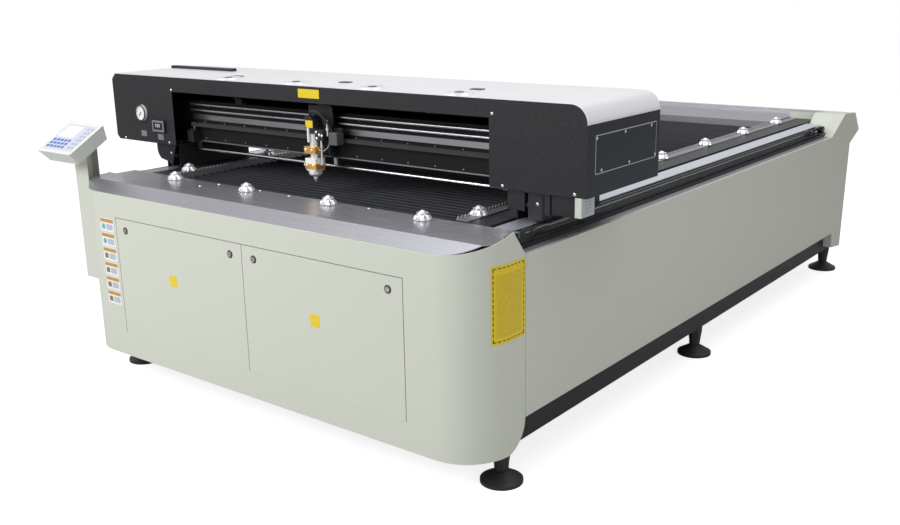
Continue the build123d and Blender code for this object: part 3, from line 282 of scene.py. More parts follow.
# Work table. The front and rear plates are brushed stainless sheet; blackened knife blades stand on
# edge between two toothed grey combs; the rails are ground steel under pale cover strips, and the
# belts black rubber.
plate_steel = grainy("plate_steel", ((0.38, 0.38, 0.42), (0.46, 0.46, 0.50)), (0.24, 0.36),
                     metallic=0.75, patch=1.5, grain=(5.0, 700.0, 700.0), relief=0.05, bite=0.0001)
strip_steel = grainy("strip_steel", ((0.62, 0.65, 0.72), (0.70, 0.73, 0.80)), (0.34, 0.46),
                     metallic=0.75, patch=1.2, grain=(600.0, 8.0, 600.0), relief=0.05, bite=0.0001)
rail_steel = grainy("rail_steel", ((0.55, 0.56, 0.58), (0.62, 0.63, 0.65)), (0.16, 0.26),
                    metallic=1.0, patch=6.0, grain=(9.0, 800.0, 800.0), relief=0.05, bite=0.0001)
comb_steel = grainy("comb_steel", ((0.20, 0.20, 0.21), (0.34, 0.34, 0.36)), (0.42, 0.58),
                    metallic=0.6, patch=9.0, grain=(200.0, 200.0, 200.0), relief=0.2)
blade_black = grainy("blade_black", ((0.018, 0.019, 0.025), (0.040, 0.042, 0.050)), (0.38, 0.54),
                     patch=14.0, grain=(30.0, 400.0, 400.0), relief=0.2, gleam=0.22)
belt_rubber = grainy("belt_rubber", ((0.016, 0.016, 0.017), (0.028, 0.028, 0.029)), (0.55, 0.75),
                     patch=20.0, grain=(600.0, 600.0, 600.0), relief=0.3)
guide_steel = grainy("guide_steel", ((0.30, 0.30, 0.32), (0.42, 0.41, 0.43)), (0.24, 0.36),
                     metallic=1.0, patch=2.0, grain=(5.0, 600.0, 600.0), relief=0.05, bite=0.0001)
rear_steel = grainy("rear_steel", ((0.34, 0.34, 0.37), (0.40, 0.40, 0.43)), (0.34, 0.44),
                    metallic=0.8, patch=1.0, grain=(4.0, 500.0, 500.0), relief=0.02, bite=0.00005)
dress(plate_steel, "front_plate")
dress(rear_steel, "rear_plate")
dress(strip_steel, "cover_strips")
dress(rail_steel, "linear_rails", "rail_blocks", "lower_rod")
dress(guide_steel, "cross_rail", "cross_pulley_left", "cross_pulley_right")
dress(frame_black, "base_drive_shaft", "base_idlers")
dress(comb_steel, "comb_strips")
dress(blade_black, "knife_blades")
dress(belt_rubber, "base_belts", "cross_belt")


# Gantry housing. The front covers and the strip above the window have a black wrinkle coat; the end
# covers, hatch, back and duct are smooth blue-black; the top cover is satin silver sheet.
wrinkle_black = grainy("wrinkle_black", ((0.006, 0.006, 0.007), (0.030, 0.030, 0.034)),
                       (0.38, 0.62), patch=130.0, grain=(330.0, 330.0, 330.0), relief=0.75,
                       bite=0.0012, gleam=0.28)
night_black = grainy("night_black", ((0.011, 0.014, 0.023), (0.014, 0.018, 0.029)), (0.26, 0.34),
                     patch=2.0, grain=(350.0, 350.0, 350.0), relief=0.08, gleam=0.35)
silver_sheet = grainy("silver_sheet", ((0.86, 0.86, 0.89), (0.92, 0.92, 0.95)), (0.30, 0.42),
                      metallic=0.7, patch=1.4, grain=(6.0, 500.0, 500.0), relief=0.06, bite=0.0001)
beam_black = grainy("beam_black", ((0.007, 0.007, 0.008), (0.012, 0.012, 0.014)), (0.40, 0.52),
                    patch=4.0, grain=(8.0, 400.0, 400.0), relief=0.08, gleam=0.15)
motor_black = grainy("motor_black", ((0.014, 0.014, 0.016), (0.024, 0.024, 0.027)), (0.38, 0.58),
                     patch=20.0, grain=(500.0, 500.0, 500.0), relief=0.15, gleam=0.3)
unit_grey = grainy("unit_grey", ((0.42, 0.44, 0.47), (0.50, 0.52, 0.55)), (0.40, 0.52),
                   metallic=0.3, patch=6.0)
dress(wrinkle_black, "front_cover_left", "front_cover_right", "centre_strip")
dress(night_black, "end_covers", "side_hatch", "back_cover", "cable_duct")
dress(silver_sheet, "top_cover", "vent_grilles")
dress(beam_black, "cross_beam", "beam_mirrors")
dress(frame_black, "gantry_saddles", "laser_holders", "leg_plates")
dress(motor_black, "base_motor", "cross_motor", "head_carriage")
dress(unit_grey, "cabinet_electronics")


# Small parts already whole in the frame. The latches are chromed; the console is a grey painted box
# under a lilac membrane; the gauge and display are moulded; the laser tube is glass; the head ends
# in a glazed ceramic ring and a bright nozzle.
TUBE_CLEAR = 0.6
chrome = grainy("chrome", ((0.36, 0.36, 0.37), (0.50, 0.50, 0.51)), (0.12, 0.24), metallic=1.0,
                patch=40.0, grain=(900.0, 900.0, 900.0), relief=0.03, bite=0.00005)
case_grey = grainy("case_grey", ((0.62, 0.65, 0.60), (0.68, 0.71, 0.66)), (0.36, 0.46), patch=5.0,
                   grain=(700.0, 700.0, 700.0), relief=0.15)
film_blue = grainy("film_blue", ((0.50, 0.53, 0.66), (0.56, 0.59, 0.72)), (0.28, 0.38), patch=8.0,
                   grain=(500.0, 500.0, 500.0), relief=0.08)
dial_white = grainy("dial_white", ((0.80, 0.80, 0.78), (0.86, 0.86, 0.84)), (0.25, 0.35),
                    patch=20.0)
needle_black = grainy("needle_black", ((0.012, 0.012, 0.012), (0.02, 0.02, 0.02)), (0.3, 0.4),
                      patch=40.0)
glass_black = grainy("glass_black", ((0.015, 0.016, 0.018), (0.022, 0.023, 0.026)), (0.10, 0.2),
                     patch=20.0)
glazed_white = grainy("glazed_white", ((0.86, 0.85, 0.82), (0.92, 0.91, 0.88)), (0.12, 0.2),
                      patch=40.0)
tube_glass = grainy("tube_glass", ((0.78, 0.88, 0.90), (0.84, 0.92, 0.94)), (0.04, 0.08), patch=6.0)
glass_surface = tube_glass.node_tree.nodes["Principled BSDF"]
glass_surface.inputs["Transmission Weight"].default_value = TUBE_CLEAR
nozzle_silver = grainy("nozzle_silver", ((0.84, 0.84, 0.86), (0.90, 0.90, 0.92)), (0.24, 0.34),
                       metallic=0.45, patch=40.0)
dress(chrome, "latch_left_inner", "latch_left_outer", "latch_right_inner", "latch_right_outer")
dress(case_grey, "console_box")
dress(film_blue, "keypad")
dress(dial_white, "pressure_gauge")
dress(needle_black, "gauge_needle")
dress(glass_black, "display_unit")
dress(tube_glass, "laser_tube")
dress(glazed_white, "ceramic_ring")
dress(nozzle_silver, "lens_tube", "nozzle")


# Printed films. Six stickers in a column beside the left panel, a bordered yellow field on the
# right cheek and small yellow plates: thin vinyl, stuck on. The lettering is left out; the fields
# are plain.
ORIGIN = np.array((40.0, -1832.5, 0.0))
FRONT = np.array(((1.0, 0.0, 0.0), (0.0, 0.0, 1.0), (0.0, -1.0, 0.0)))
SHARP_ANGLE = math.radians(21.0)
WELD = 1e-7


def piece(name, rings, material, body, capped=True):
    """A closed surface in millimetres from the middle of the base's front: the loops
    rings[copy, level, point] joined level to level. The first and last loops are filled flat;
    when capped is false they lie on each other."""
    rings = np.asarray(rings, float)
    copies, levels, points, _ = rings.shape
    start = np.arange(copies)[:, None] * levels * points
    level = start[:, :, None] + np.arange(levels - 1)[None, :, None] * points
    here = level + np.arange(points)
    ahead = level + (np.arange(points) + 1) % points
    faces = np.stack([here, ahead, ahead + points, here + points], -1).reshape(-1, 4).tolist()
    if capped:
        faces += (start + np.arange(points)).tolist()
        faces += (start + (levels - 1) * points + np.arange(points)).tolist()
    mesh = bpy.data.meshes.new(name)
    mesh.from_pydata(((rings + ORIGIN) / 1000.0).reshape(-1, 3).tolist(), [], faces)
    soup = bmesh.new()
    soup.from_mesh(mesh)
    bmesh.ops.remove_doubles(soup, verts=soup.verts, dist=WELD)
    bmesh.ops.recalc_face_normals(soup, faces=soup.faces)
    soup.to_mesh(mesh)
    soup.free()
    mesh.shade_smooth()
    mesh.set_sharp_from_angle(angle=SHARP_ANGLE)
    mesh.materials.append(material)
    made = bpy.data.objects.new(name, mesh)
    bpy.context.scene.collection.objects.link(made)
    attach(made, body)
    return made


def rounded(width, height, radius, inset):
    """A rounded rectangle: quarter circles of radius less inset, about centres in its corners."""
    corner = np.arange(4)[:, None]
    turn = (corner + np.linspace(0.0, 1.0, 5)) * math.pi / 2
    middle = (corner + 0.5) * math.pi / 2
    across = np.sign(np.cos(middle)) * (width / 2 - radius) + (radius - inset) * np.cos(turn)
    along = np.sign(np.sin(middle)) * (height / 2 - radius) + (radius - inset) * np.sin(turn)
    return np.stack([across.ravel(), along.ravel()], -1)


def plates(places, axes, width, height, thick, radius=2.0, bevel=0.2):
    """Rounded plates, one to a place, whose width, height and thickness run along the rows of axes:
    loops at four heights, the last two drawn in over the bevel."""
    heights = np.array((0.0, thick - bevel, thick - 0.3 * bevel, thick))
    insets = np.array((0.0, 0.0, 0.3 * bevel, bevel))
    loops = np.stack([rounded(width, height, radius, inset) for inset in insets])
    rings = loops @ axes[:2] + heights[:, None, None] * axes[2]
    return np.asarray(places, float).reshape(-1, 1, 1, 3) + rings[None]


CHEEK_RADIUS = 180.0
CHEEK_CENTRE = (898.0, 180.0)
CHEEK_STEPS = 9
FILM_SEAT = 0.02


def cheek_patch(start, end, low, high, lift):
    """A patch on the right cheek, from start to end along its outline and lift proud of it.
    Outline: an arc of the corner's radius, then a straight run to the rear."""
    arc = CHEEK_RADIUS * math.pi / 2
    run = np.linspace(start, end, CHEEK_STEPS)
    turn = np.minimum(run, arc) / CHEEK_RADIUS
    beyond = np.maximum(run - arc, 0.0)
    out = np.stack([np.sin(turn), -np.cos(turn)], -1)
    levels = np.array(((FILM_SEAT, low), (FILM_SEAT, high), (lift, high), (lift, low)))
    reach = CHEEK_RADIUS + levels[None, :, 0]
    rings = np.empty((len(run), 4, 3))
    rings[..., 0] = CHEEK_CENTRE[0] + reach * out[:, :1]
    rings[..., 1] = CHEEK_CENTRE[1] + reach * out[:, 1:] + beyond[:, None]
    rings[..., 2] = levels[None, :, 1]
    return rings


film_white = grainy("film_white", ((0.76, 0.77, 0.76), (0.82, 0.83, 0.82)), (0.30, 0.40),
                    patch=15.0)
film_orange = grainy("film_orange", ((0.46, 0.24, 0.045), (0.54, 0.30, 0.07)), (0.30, 0.42),
                     patch=20.0)
film_pale = grainy("film_pale", ((0.38, 0.42, 0.52), (0.50, 0.53, 0.60)), (0.30, 0.42), patch=60.0)
film_yellow = grainy("film_yellow", ((0.72, 0.53, 0.012), (0.80, 0.61, 0.020)), (0.28, 0.40),
                     patch=8.0)
film_ochre = grainy("film_ochre", ((0.48, 0.34, 0.010), (0.84, 0.64, 0.020)), (0.32, 0.44),
                    patch=150.0)
# Black for print, ticks and rims; also painted shade in screw sockets and plate holes.
print_and_shade_black = grainy("print_and_shade_black", ((0.015, 0.015, 0.015), (0.025, 0.025, 0.025)), (0.35, 0.5),
                    patch=20.0)
film_teal = grainy("film_teal", ((0.10, 0.36, 0.44), (0.16, 0.44, 0.52)), (0.30, 0.42), patch=40.0)
film_umber = grainy("film_umber", ((0.16, 0.13, 0.08), (0.24, 0.20, 0.13)), (0.30, 0.42),
                    patch=60.0)

STICKER_COUNT = 6
STICKER_X = -842.5
STICKER_LOWEST = 386.0
STICKER_PITCH = 63.3
FILM_THICK = 0.4
column = [(STICKER_X, 0.0, STICKER_LOWEST + STICKER_PITCH * i) for i in range(STICKER_COUNT)]
column = np.array(column)
heads = column + (0.0, -FILM_THICK, 18.0)
blocks = column + (16.0, -FILM_THICK, -8.0)
marks = column + (-25.0, -FILM_THICK, -8.0)
piece("sticker_fields", plates(column, FRONT, 92.0, 57.0, FILM_THICK, 3.0), film_white, "base")
piece("sticker_heads", plates(heads, FRONT, 88.0, 15.0, 0.3), film_orange, "base")
piece("sticker_blocks", plates(blocks, FRONT, 44.0, 24.0, 0.3), film_pale, "base")
piece("sticker_marks_blue", plates(marks[4:], FRONT, 24.0, 24.0, 0.3, 11.0), film_teal, "base")
piece("sticker_marks_dark", plates(marks[:4], FRONT, 24.0, 22.0, 0.3, 4.0), film_umber, "base")

label_field = cheek_patch(start=196.0, end=362.0, low=540.0, high=801.0, lift=0.5)
label_inner = cheek_patch(start=216.0, end=340.0, low=562.0, high=770.0, lift=0.8)
DASH = 12.0
DASH_WIDTH = 3.0
DASH_LIFT = 0.9
BORDER_LOW = 548.0
BORDER_HIGH = 790.0
BORDER_START = 203.0
BORDER_END = 351.0
BORDER_LAST = 340.0
DASHES_ALONG = 8
DASHES_UP = 13
dashes = []
for z in (BORDER_LOW, BORDER_HIGH):
    for step in np.linspace(BORDER_START, BORDER_LAST, DASHES_ALONG):
        dashes.append(cheek_patch(step, step + DASH, z, z + DASH_WIDTH, DASH_LIFT))
for step in (BORDER_START, BORDER_END):
    for z in np.linspace(BORDER_LOW, BORDER_HIGH + DASH_WIDTH - DASH, DASHES_UP):
        dashes.append(cheek_patch(step, step + DASH_WIDTH, z, z + DASH, DASH_LIFT))
piece("label_field", label_field[None], film_yellow, "base")
piece("label_border", np.stack(dashes), print_and_shade_black, "base")
piece("label_inner", label_inner[None], film_ochre, "base")

GANTRY_FACE = 400.0
LEFT_PLATE = (-424.0, 0.0, 528.0)
RIGHT_PLATE = (368.0, 0.0, 517.0)
STRIP_PLATE = (-19.0, GANTRY_FACE, 1250.0)
HEAD_MARK = (-26.0, 401.9, 1133.0)
piece("small_plate_left", plates(LEFT_PLATE, FRONT, 46.0, 46.0, 0.5), film_yellow, "panel_left")
piece("small_plate_right", plates(RIGHT_PLATE, FRONT, 46.0, 46.0, 0.5), film_yellow, "panel_right")
piece("strip_plate", plates(STRIP_PLATE, FRONT, 114.0, 34.0, 0.6), film_yellow, "gantry")
piece("strip_plate_rim", plates(STRIP_PLATE, FRONT, 117.0, 37.0, 0.4), print_and_shade_black, "gantry")
piece("head_plate_mark", plates(HEAD_MARK, FRONT, 38.0, 28.0, 0.6), film_yellow, "head")


# Latch rims. A black collar lies round each quarter-turn latch, under its bright slotted head; it
# is a turned plastic washer, snapped into the panel.
LATCH_RIM = ((15.0, 0.0), (15.0, 0.8), (13.5, 1.6), (11.0, 1.9), (10.6, 0.2))
LATCH_OUT = (65.0, 715.0)
LATCH_Z = 694.0


def turned(places, axes, profile, sides=20):
    """Turned shapes, one to a place: circles of the profile's radii, at its heights along the last
    row of axes."""
    turn = np.arange(sides) * 2.0 * math.pi / sides
    circle = np.cos(turn)[:, None] * axes[0] + np.sin(turn)[:, None] * axes[1]
    profile = np.asarray(profile, float)
    rings = profile[:, 0][:, None, None] * circle + profile[:, 1][:, None, None] * axes[2]
    return np.asarray(places, float).reshape(-1, 1, 1, 3) + rings[None]


for side, sign in (("left", -1.0), ("right", 1.0)):
    latches = [(sign * out, 0.0, LATCH_Z) for out in LATCH_OUT]
    piece("latch_rims_" + side, turned(latches, FRONT, LATCH_RIM), print_and_shade_black, "panel_" + side)


# Feet and trims. A tapered octagonal nut stands on each foot's pad under the frame; bare steel
# trims lie along the side panels' top flanges, and folded steel corners close the rear plate.
TOP = np.eye(3)
NUT = ((21.0, 40.0), (25.0, 46.0), (27.0, 70.0), (33.0, 112.0), (33.0, 130.0), (28.0, 131.5))
FOOT_X = 1003.0
FOOT_Y = (230.0, 1760.0, 3500.0)
feet = [(side * FOOT_X, y, 0.0) for side in (-1, 1) for y in FOOT_Y]
piece("foot_nuts", turned(feet, TOP, NUT, 8), foot_black, "base")

trim_steel = grainy("trim_steel", ((0.30, 0.30, 0.33), (0.38, 0.38, 0.42)), (0.40, 0.52),
                    metallic=0.5, patch=3.0)
TRIM_LENGTH = 2970.0
TRIM_WIDTH = 30.0
TRIM_X = 1049.0
TRIM_MIDDLE = 1757.0
TRIM_TOP = 808.0
trims = [(side * TRIM_X, TRIM_MIDDLE, TRIM_TOP) for side in (1, -1)]
piece("flange_trims", plates(trims, TOP, TRIM_WIDTH, TRIM_LENGTH, 0.8, 3.0), trim_steel, "base")

CORNER_X = 837.5
CORNER_HALF = 71.5
CORNER_SEAT = 0.05
CORNER_THICK = 0.9
CORNER_ENDS = np.array(((0.0, 3451.0, 911.5), (0.0, 3603.0, 903.0)))
outline = ((-1, CORNER_SEAT), (1, CORNER_SEAT), (1, CORNER_THICK), (-1, CORNER_THICK))
outline = np.array([(way * CORNER_HALF, 0.0, z) for way, z in outline])
corner_sides = np.array([(side * CORNER_X, 0.0, 0.0) for side in (1, -1)])
corners = corner_sides[:, None, None] + CORNER_ENDS[None, :, None] + outline
piece("rear_corners", corners, rear_steel, "base")


# Ball cups. Each pressed steel cup has a scalloped skirt, a dark clamp screw in its side and a
# bright ring round the ball; side cups stand on the comb's shelf and four more on the front plate.
SIDE_BALL_X = 790.0
SIDE_BALL_START = 400.0
SIDE_BALL_PITCH = 462.0
SHELF_TOP = 875.0
FRONT_BALL_START = -685.0
FRONT_BALL_PITCH = 450.0
FRONT_BALL_Y = 246.0
PLATE_TOP = 872.0
CUP_RIM = ((19.0, 24.2), (20.6, 24.6), (20.8, 26.2), (19.0, 27.0), (14.0, 26.4))
CUP_SCREW = ((3.4, 0.0), (3.4, 2.0), (2.6, 2.6))
SKIRT = np.array(((27.0, 0.0), (30.0, 3.0), (29.0, 9.0), (24.5, 16.0), (21.5, 19.0), (19.6, 20.0)))
SKIRT_STEPS = 48
PETALS = 8.0
PETAL_SWELL = 0.09


def scalloped(profile):
    """One turned skirt whose radius is multiplied by 1 + swell x cos(petals x turn)."""
    turn = np.arange(SKIRT_STEPS) * 2.0 * math.pi / SKIRT_STEPS
    swell = 1.0 + PETAL_SWELL * np.cos(PETALS * turn)
    rings = np.empty((1, len(profile), SKIRT_STEPS, 3))
    rings[..., 0] = profile[:, :1] * swell * np.cos(turn)
    rings[..., 1] = profile[:, :1] * swell * np.sin(turn)
    rings[..., 2] = profile[:, 1:]
    return rings


cups = [(side * SIDE_BALL_X, SIDE_BALL_START + SIDE_BALL_PITCH * i, SHELF_TOP) for i in range(7)
        for side in (-1, 1)]
cups += [(FRONT_BALL_START + FRONT_BALL_PITCH * i, FRONT_BALL_Y, PLATE_TOP) for i in range(4)]
cups = np.array(cups)
cup_screws = cups + (0.0, -28.4, 8.0)
cup_silver = grainy("cup_silver", ((0.80, 0.81, 0.84), (0.90, 0.91, 0.93)), (0.20, 0.32),
                    metallic=0.55, patch=60.0)
dress(cup_silver, "ball_transfer_units")
piece("cup_skirts", cups[:, None, None] + scalloped(SKIRT), cup_silver, "base")
piece("cup_rims", turned(cups, TOP, CUP_RIM, 24), cup_silver, "base")
piece("cup_screws", turned(cup_screws, FRONT, CUP_SCREW, 10), motor_black, "base")


# Screws. Bright button-head screws hold the covers, the left and right legs and the front plate;
# each is a zinc-plated dome; a black disc on it is painted shade in its hexagon socket.
BUTTON = ((5.6, 0.0), (5.6, 0.6), (5.0, 1.8), (3.4, 2.7), (2.4, 2.9))
SOCKET_SHADE = ((2.5, 0.0), (2.5, 3.1), (2.2, 3.15))
LEG_FACE = 430.0
screw_zinc = grainy("screw_zinc", ((0.74, 0.74, 0.72), (0.84, 0.84, 0.82)), (0.22, 0.36),
                    metallic=0.6, patch=90.0)
cover_spots = ((-869.0, 1223.0), (848.0, 1229.0), (890.0, 989.0), (1172.0, 990.0), (-914.0, 989.0),
               (-1237.0, 988.0))
leg_spots = ((1012.0, 935.0), (-946.0, 936.0))
plate_spots = ((-437.0, 274.0), (-21.0, 271.0), (389.0, 277.0), (-196.0, 280.0), (-477.0, 209.0),
               (203.0, 266.0))
cover_screws = [(x, GANTRY_FACE, z) for x, z in cover_spots]
cover_screws += [(x, LEG_FACE, z) for x, z in leg_spots]
plate_screws = [(x, y, PLATE_TOP) for x, y in plate_spots]
piece("cover_screws", turned(cover_screws, FRONT, BUTTON), screw_zinc, "gantry")
# Black discs on the domes: painted shade in the hexagon sockets.
piece("cover_socket_shade", turned(cover_screws, FRONT, SOCKET_SHADE, 6), print_and_shade_black, "gantry")
piece("plate_screws", turned(plate_screws, TOP, BUTTON), screw_zinc, "base")
piece("plate_socket_shade", turned(plate_screws, TOP, SOCKET_SHADE, 6), print_and_shade_black, "base")


# Covers' small parts. The end hatch is a thin blue-black plate over a paler gasket, held by six
# screws; three square vents stand on the top, and each round grille has a dark button.
RIGHT = np.array(((0.0, 1.0, 0.0), (0.0, 0.0, 1.0), (1.0, 0.0, 0.0)))
HATCH_MIDDLE = (1217.98, 656.0, 1114.5)
HATCH_FACE = 1219.2
HATCH_ROWS = ((1168.0, -16.0), (1062.0, 16.0))
HATCH_COLUMNS = (470.0, 656.0, 842.0)
HATCH_SCREW = ((5.0, 0.0), (5.0, 0.5), (4.0, 0.8))
GRILLE_BUTTON = ((17.0, 0.0), (17.0, 1.0), (14.0, 1.8))
COVER_TOP = 1280.0
GRILLE_TOP = 1285.0
hatch = piece("hatch_plate", plates(HATCH_MIDDLE, RIGHT, 412.0, 121.0, 1.3, 4.0), night_black,
              "gantry")
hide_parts("side_hatch")
piece("hatch_gasket", plates(HATCH_MIDDLE, RIGHT, 418.0, 127.0, 0.8, 5.0), unit_grey, "gantry")
hatch_screws = [(HATCH_FACE, y + lean, z) for z, lean in HATCH_ROWS for y in HATCH_COLUMNS]
piece("hatch_screws", turned(hatch_screws, RIGHT, HATCH_SCREW), screw_zinc, "gantry")
vents = ((-600.0, 548.0, COVER_TOP), (14.0, 573.0, COVER_TOP), (635.0, 607.0, COVER_TOP))
piece("top_vents", plates(vents, TOP, 48.0, 36.0, 3.0, 4.0, 1.0), night_black, "gantry")
buttons = [(-559.0 + 407.0 * i, 465.0, GRILLE_TOP) for i in range(4)]
piece("grille_buttons", turned(buttons, TOP, GRILLE_BUTTON), night_black, "gantry")


# Gauge and display. The gauge has a dark bezel round a white dial with black ticks; the display is
# a grey frame with lit digits left as plain bars, over two small dark switch plates.
GAUGE = np.array((-1092.0, 388.0, 1111.0))
BEZEL = np.array(((36.6, 0.2), (36.6, -2.4), (34.8, -3.6), (32.2, -2.6), (31.8, 0.4)))
BEZEL_STEPS = 49
DIAL = GAUGE + (0.0, 4.0, 0.0)
TICK_OUT = 27.0
TICK_COUNT = 11
DISPLAY = np.array((-971.0, 390.0, 1059.0))


def round_section(middle, section, steps):
    """A section of (radius, depth) points swept a full turn about the front to rear line."""
    turn = np.linspace(0.0, 2.0 * math.pi, steps)
    across = section[None, :, 0] * np.cos(turn)[:, None]
    depth = np.broadcast_to(section[:, 1], across.shape)
    upward = section[None, :, 0] * np.sin(turn)[:, None]
    return np.stack([across, depth, upward], -1) + middle


def dial_tick(angle):
    """A thin plate on the dial, its length pointing out from the middle at the angle."""
    out = np.array((math.cos(angle), 0.0, math.sin(angle)))
    aside = np.array((-math.sin(angle), 0.0, math.cos(angle)))
    return plates(DIAL + TICK_OUT * out, np.stack([out, aside, FRONT[2]]), 7.0, 1.6, 0.3, 0.4, 0.1)


bezel = round_section(GAUGE, BEZEL, BEZEL_STEPS)
piece("gauge_bezel", bezel[None], motor_black, "gantry", capped=False)
ticks = [dial_tick(angle) for angle in np.radians(np.linspace(-45.0, 225.0, TICK_COUNT))]
piece("gauge_ticks", np.concatenate(ticks), print_and_shade_black, "gantry")
frame_grey = grainy("frame_grey", ((0.15, 0.16, 0.19), (0.19, 0.20, 0.23)), (0.35, 0.5), patch=30.0)
outer = rounded(82.0, 50.0, 5.0, 0.0) @ FRONT[:2]
inner = rounded(64.0, 32.0, 3.0, 0.0) @ FRONT[:2]
levels = [outer, outer + 1.4 * FRONT[2], inner + 1.8 * FRONT[2], inner - 0.5 * FRONT[2], outer]
piece("display_frame", (DISPLAY + np.stack(levels))[None], frame_grey, "gantry",
      capped=False)
bars = DISPLAY + np.array([(x, 2.0, 2.0) for x in (-20.0, -8.0, 4.0)])
piece("display_bars", plates(bars, FRONT, 7.0, 15.0, 0.4, 1.0), film_pale, "gantry")
switches = ((-1090.0, GANTRY_FACE, 1018.0), (-969.0, GANTRY_FACE, 1010.0))
piece("switch_plates", plates(switches, FRONT, 40.0, 26.0, 3.0, 3.0, 1.0), frame_grey, "gantry")


# Console film. The lilac membrane has a pale window for the screen, three rows of blue keys and two
# columns of grey ones; all are printed and slightly domed.
DESK_TILT = math.radians(31.0)
RISE = math.sin(DESK_TILT)
LEVEL = math.cos(DESK_TILT)
DESK = np.array(((1.0, 0.0, 0.0), (0.0, LEVEL, RISE), (0.0, -RISE, LEVEL)))
DESK_MIDDLE = np.array((-1089.0, 27.0, 1045.0))
key_blue = grainy("key_blue", ((0.06, 0.13, 0.36), (0.09, 0.18, 0.44)), (0.28, 0.4), patch=40.0)
screen = DESK_MIDDLE + np.array((-38.0, 36.0, 0.0)) @ DESK
keys = np.array([(-88.0 + 27.0 * i, -62.0 + 21.0 * j, 0.0) for j in range(3) for i in range(5)])
keys = DESK_MIDDLE + keys @ DESK
side_keys = np.array([(64.0 + 24.0 * i, -58.0 + 24.0 * j, 0.0) for j in range(6) for i in range(2)])
side_keys = DESK_MIDDLE + side_keys @ DESK
piece("console_screen", plates(screen, DESK, 112.0, 72.0, 0.6, 4.0), film_white, "base")
piece("console_keys", plates(keys, DESK, 20.0, 14.0, 0.7, 3.0, 0.4), key_blue, "base")
piece("side_keys", plates(side_keys, DESK, 17.0, 15.0, 0.7, 4.0, 0.4), unit_grey, "base")


# Painted shade. Thin black sheets lie under the top cover and before the back cover; they stand
# for the shade inside the box and darken it.
SHADE_SHEET_LENGTH = 2380.0
ROOF_SHADE_MIDDLE = (-45.0, 645.0, 1266.0)
BACK_SHADE_MIDDLE = (-45.0, 880.0, 1128.0)
# A near-black dull sheet: painted shade for the inside of the gantry box.
shade_sheet_black = grainy("shade_sheet_black", ((0.006, 0.006, 0.007), (0.010, 0.010, 0.011)), (0.6, 0.75),
                     patch=3.0, gleam=0.1)
roof_shade_sheet = plates(ROOF_SHADE_MIDDLE, TOP, SHADE_SHEET_LENGTH, 470.0, 2.0, 6.0, 0.4)
back_shade_sheet = plates(BACK_SHADE_MIDDLE, FRONT, SHADE_SHEET_LENGTH, 270.0, 2.0, 6.0, 0.4)
piece("roof_shade_sheet", roof_shade_sheet, shade_sheet_black, "gantry")
piece("back_shade_sheet", back_shade_sheet, shade_sheet_black, "gantry")


# Beam details. Two pale seams with small screws run along the beam's dark face, and the turning
# mirror's knobs are brass; the seams are extruded edges left bright.
BEAM_FACE = 500.0
SEAM_LENGTH = 1640.0
BEAM_SCREW = ((3.6, 0.0), (3.6, 1.0), (2.6, 1.7))
KNOB = ((5.4, -1.0), (5.4, 5.0), (4.6, 6.2), (2.6, 6.6))
seam_grey = grainy("seam_grey", ((0.16, 0.16, 0.17), (0.24, 0.24, 0.25)), (0.3, 0.42), metallic=0.6,
                   patch=9.0)
brass = grainy("brass", ((0.72, 0.40, 0.10), (0.82, 0.48, 0.14)), (0.18, 0.3), metallic=1.0,
               patch=40.0, grain=(700.0, 700.0, 700.0), relief=0.05)
seams = [(-16.5, BEAM_FACE, z) for z in (1062.0, 994.0)]
beam_screws = [(-780.0 + 130.0 * i, BEAM_FACE, z) for z in (1078.0, 1006.0) for i in range(13)]
knobs = [(x, 474.8, 1198.0) for x in (-532.0, -508.0)]
piece("beam_seams", plates(seams, FRONT, SEAM_LENGTH, 5.0, 1.6, 1.5, 0.5), seam_grey, "gantry")
piece("beam_screws", turned(beam_screws, FRONT, BEAM_SCREW, 10), seam_grey, "gantry")
piece("mirror_knobs", turned(knobs, FRONT, KNOB), brass, "gantry")


# Head. A brass clamp holds the lens tube on the carriage; a white insulator and a second brass
# block hang below it with the nozzle; a grey lift motor, bright fittings, hoses and one pale wire
# stand beside them.
HOSE_SIDES = 20
HOSE_STEPS = 24
HOSE_SIDEWAYS = (0.31, -0.9, 0.12)


def tube(path, radius):
    """A round hose: circles of the radius square to the path at each of its points."""
    path = np.asarray(path, float)
    ahead = np.gradient(path, axis=0)
    ahead /= np.linalg.norm(ahead, axis=1)[:, None]
    side = np.cross(ahead, HOSE_SIDEWAYS)
    side /= np.linalg.norm(side, axis=1)[:, None]
    other = np.cross(side, ahead)
    turn = np.arange(HOSE_SIDES) * 2.0 * math.pi / HOSE_SIDES
    across = np.cos(turn)[None, :, None] * side[:, None]
    upward = np.sin(turn)[None, :, None] * other[:, None]
    return path[:, None] + radius * (across + upward)


def curve(*knots):
    """A cubic with four control points, in Bernstein form."""
    t = np.linspace(0.0, 1.0, HOSE_STEPS)[:, None]
    a, b, c, d = (np.asarray(knot, float) for knot in knots)
    return (1 - t) ** 3 * a + 3 * (1 - t) ** 2 * t * b + 3 * (1 - t) * t ** 2 * c + t ** 3 * d


HEAD = np.array((-26.0, 425.0, 0.0))
amber = grainy("amber", ((0.66, 0.33, 0.045), (0.78, 0.42, 0.08)), (0.22, 0.34), metallic=0.55,
               patch=60.0)
motor_grey = grainy("motor_grey", ((0.07, 0.07, 0.065), (0.11, 0.11, 0.10)), (0.38, 0.5),
                    patch=30.0)


def head_block(height, width, depth, tall, radius, bevel):
    """A block centred on the head's line, standing on the height."""
    return plates(HEAD + (0.0, 0.0, height), TOP, width, depth, tall, radius, bevel)


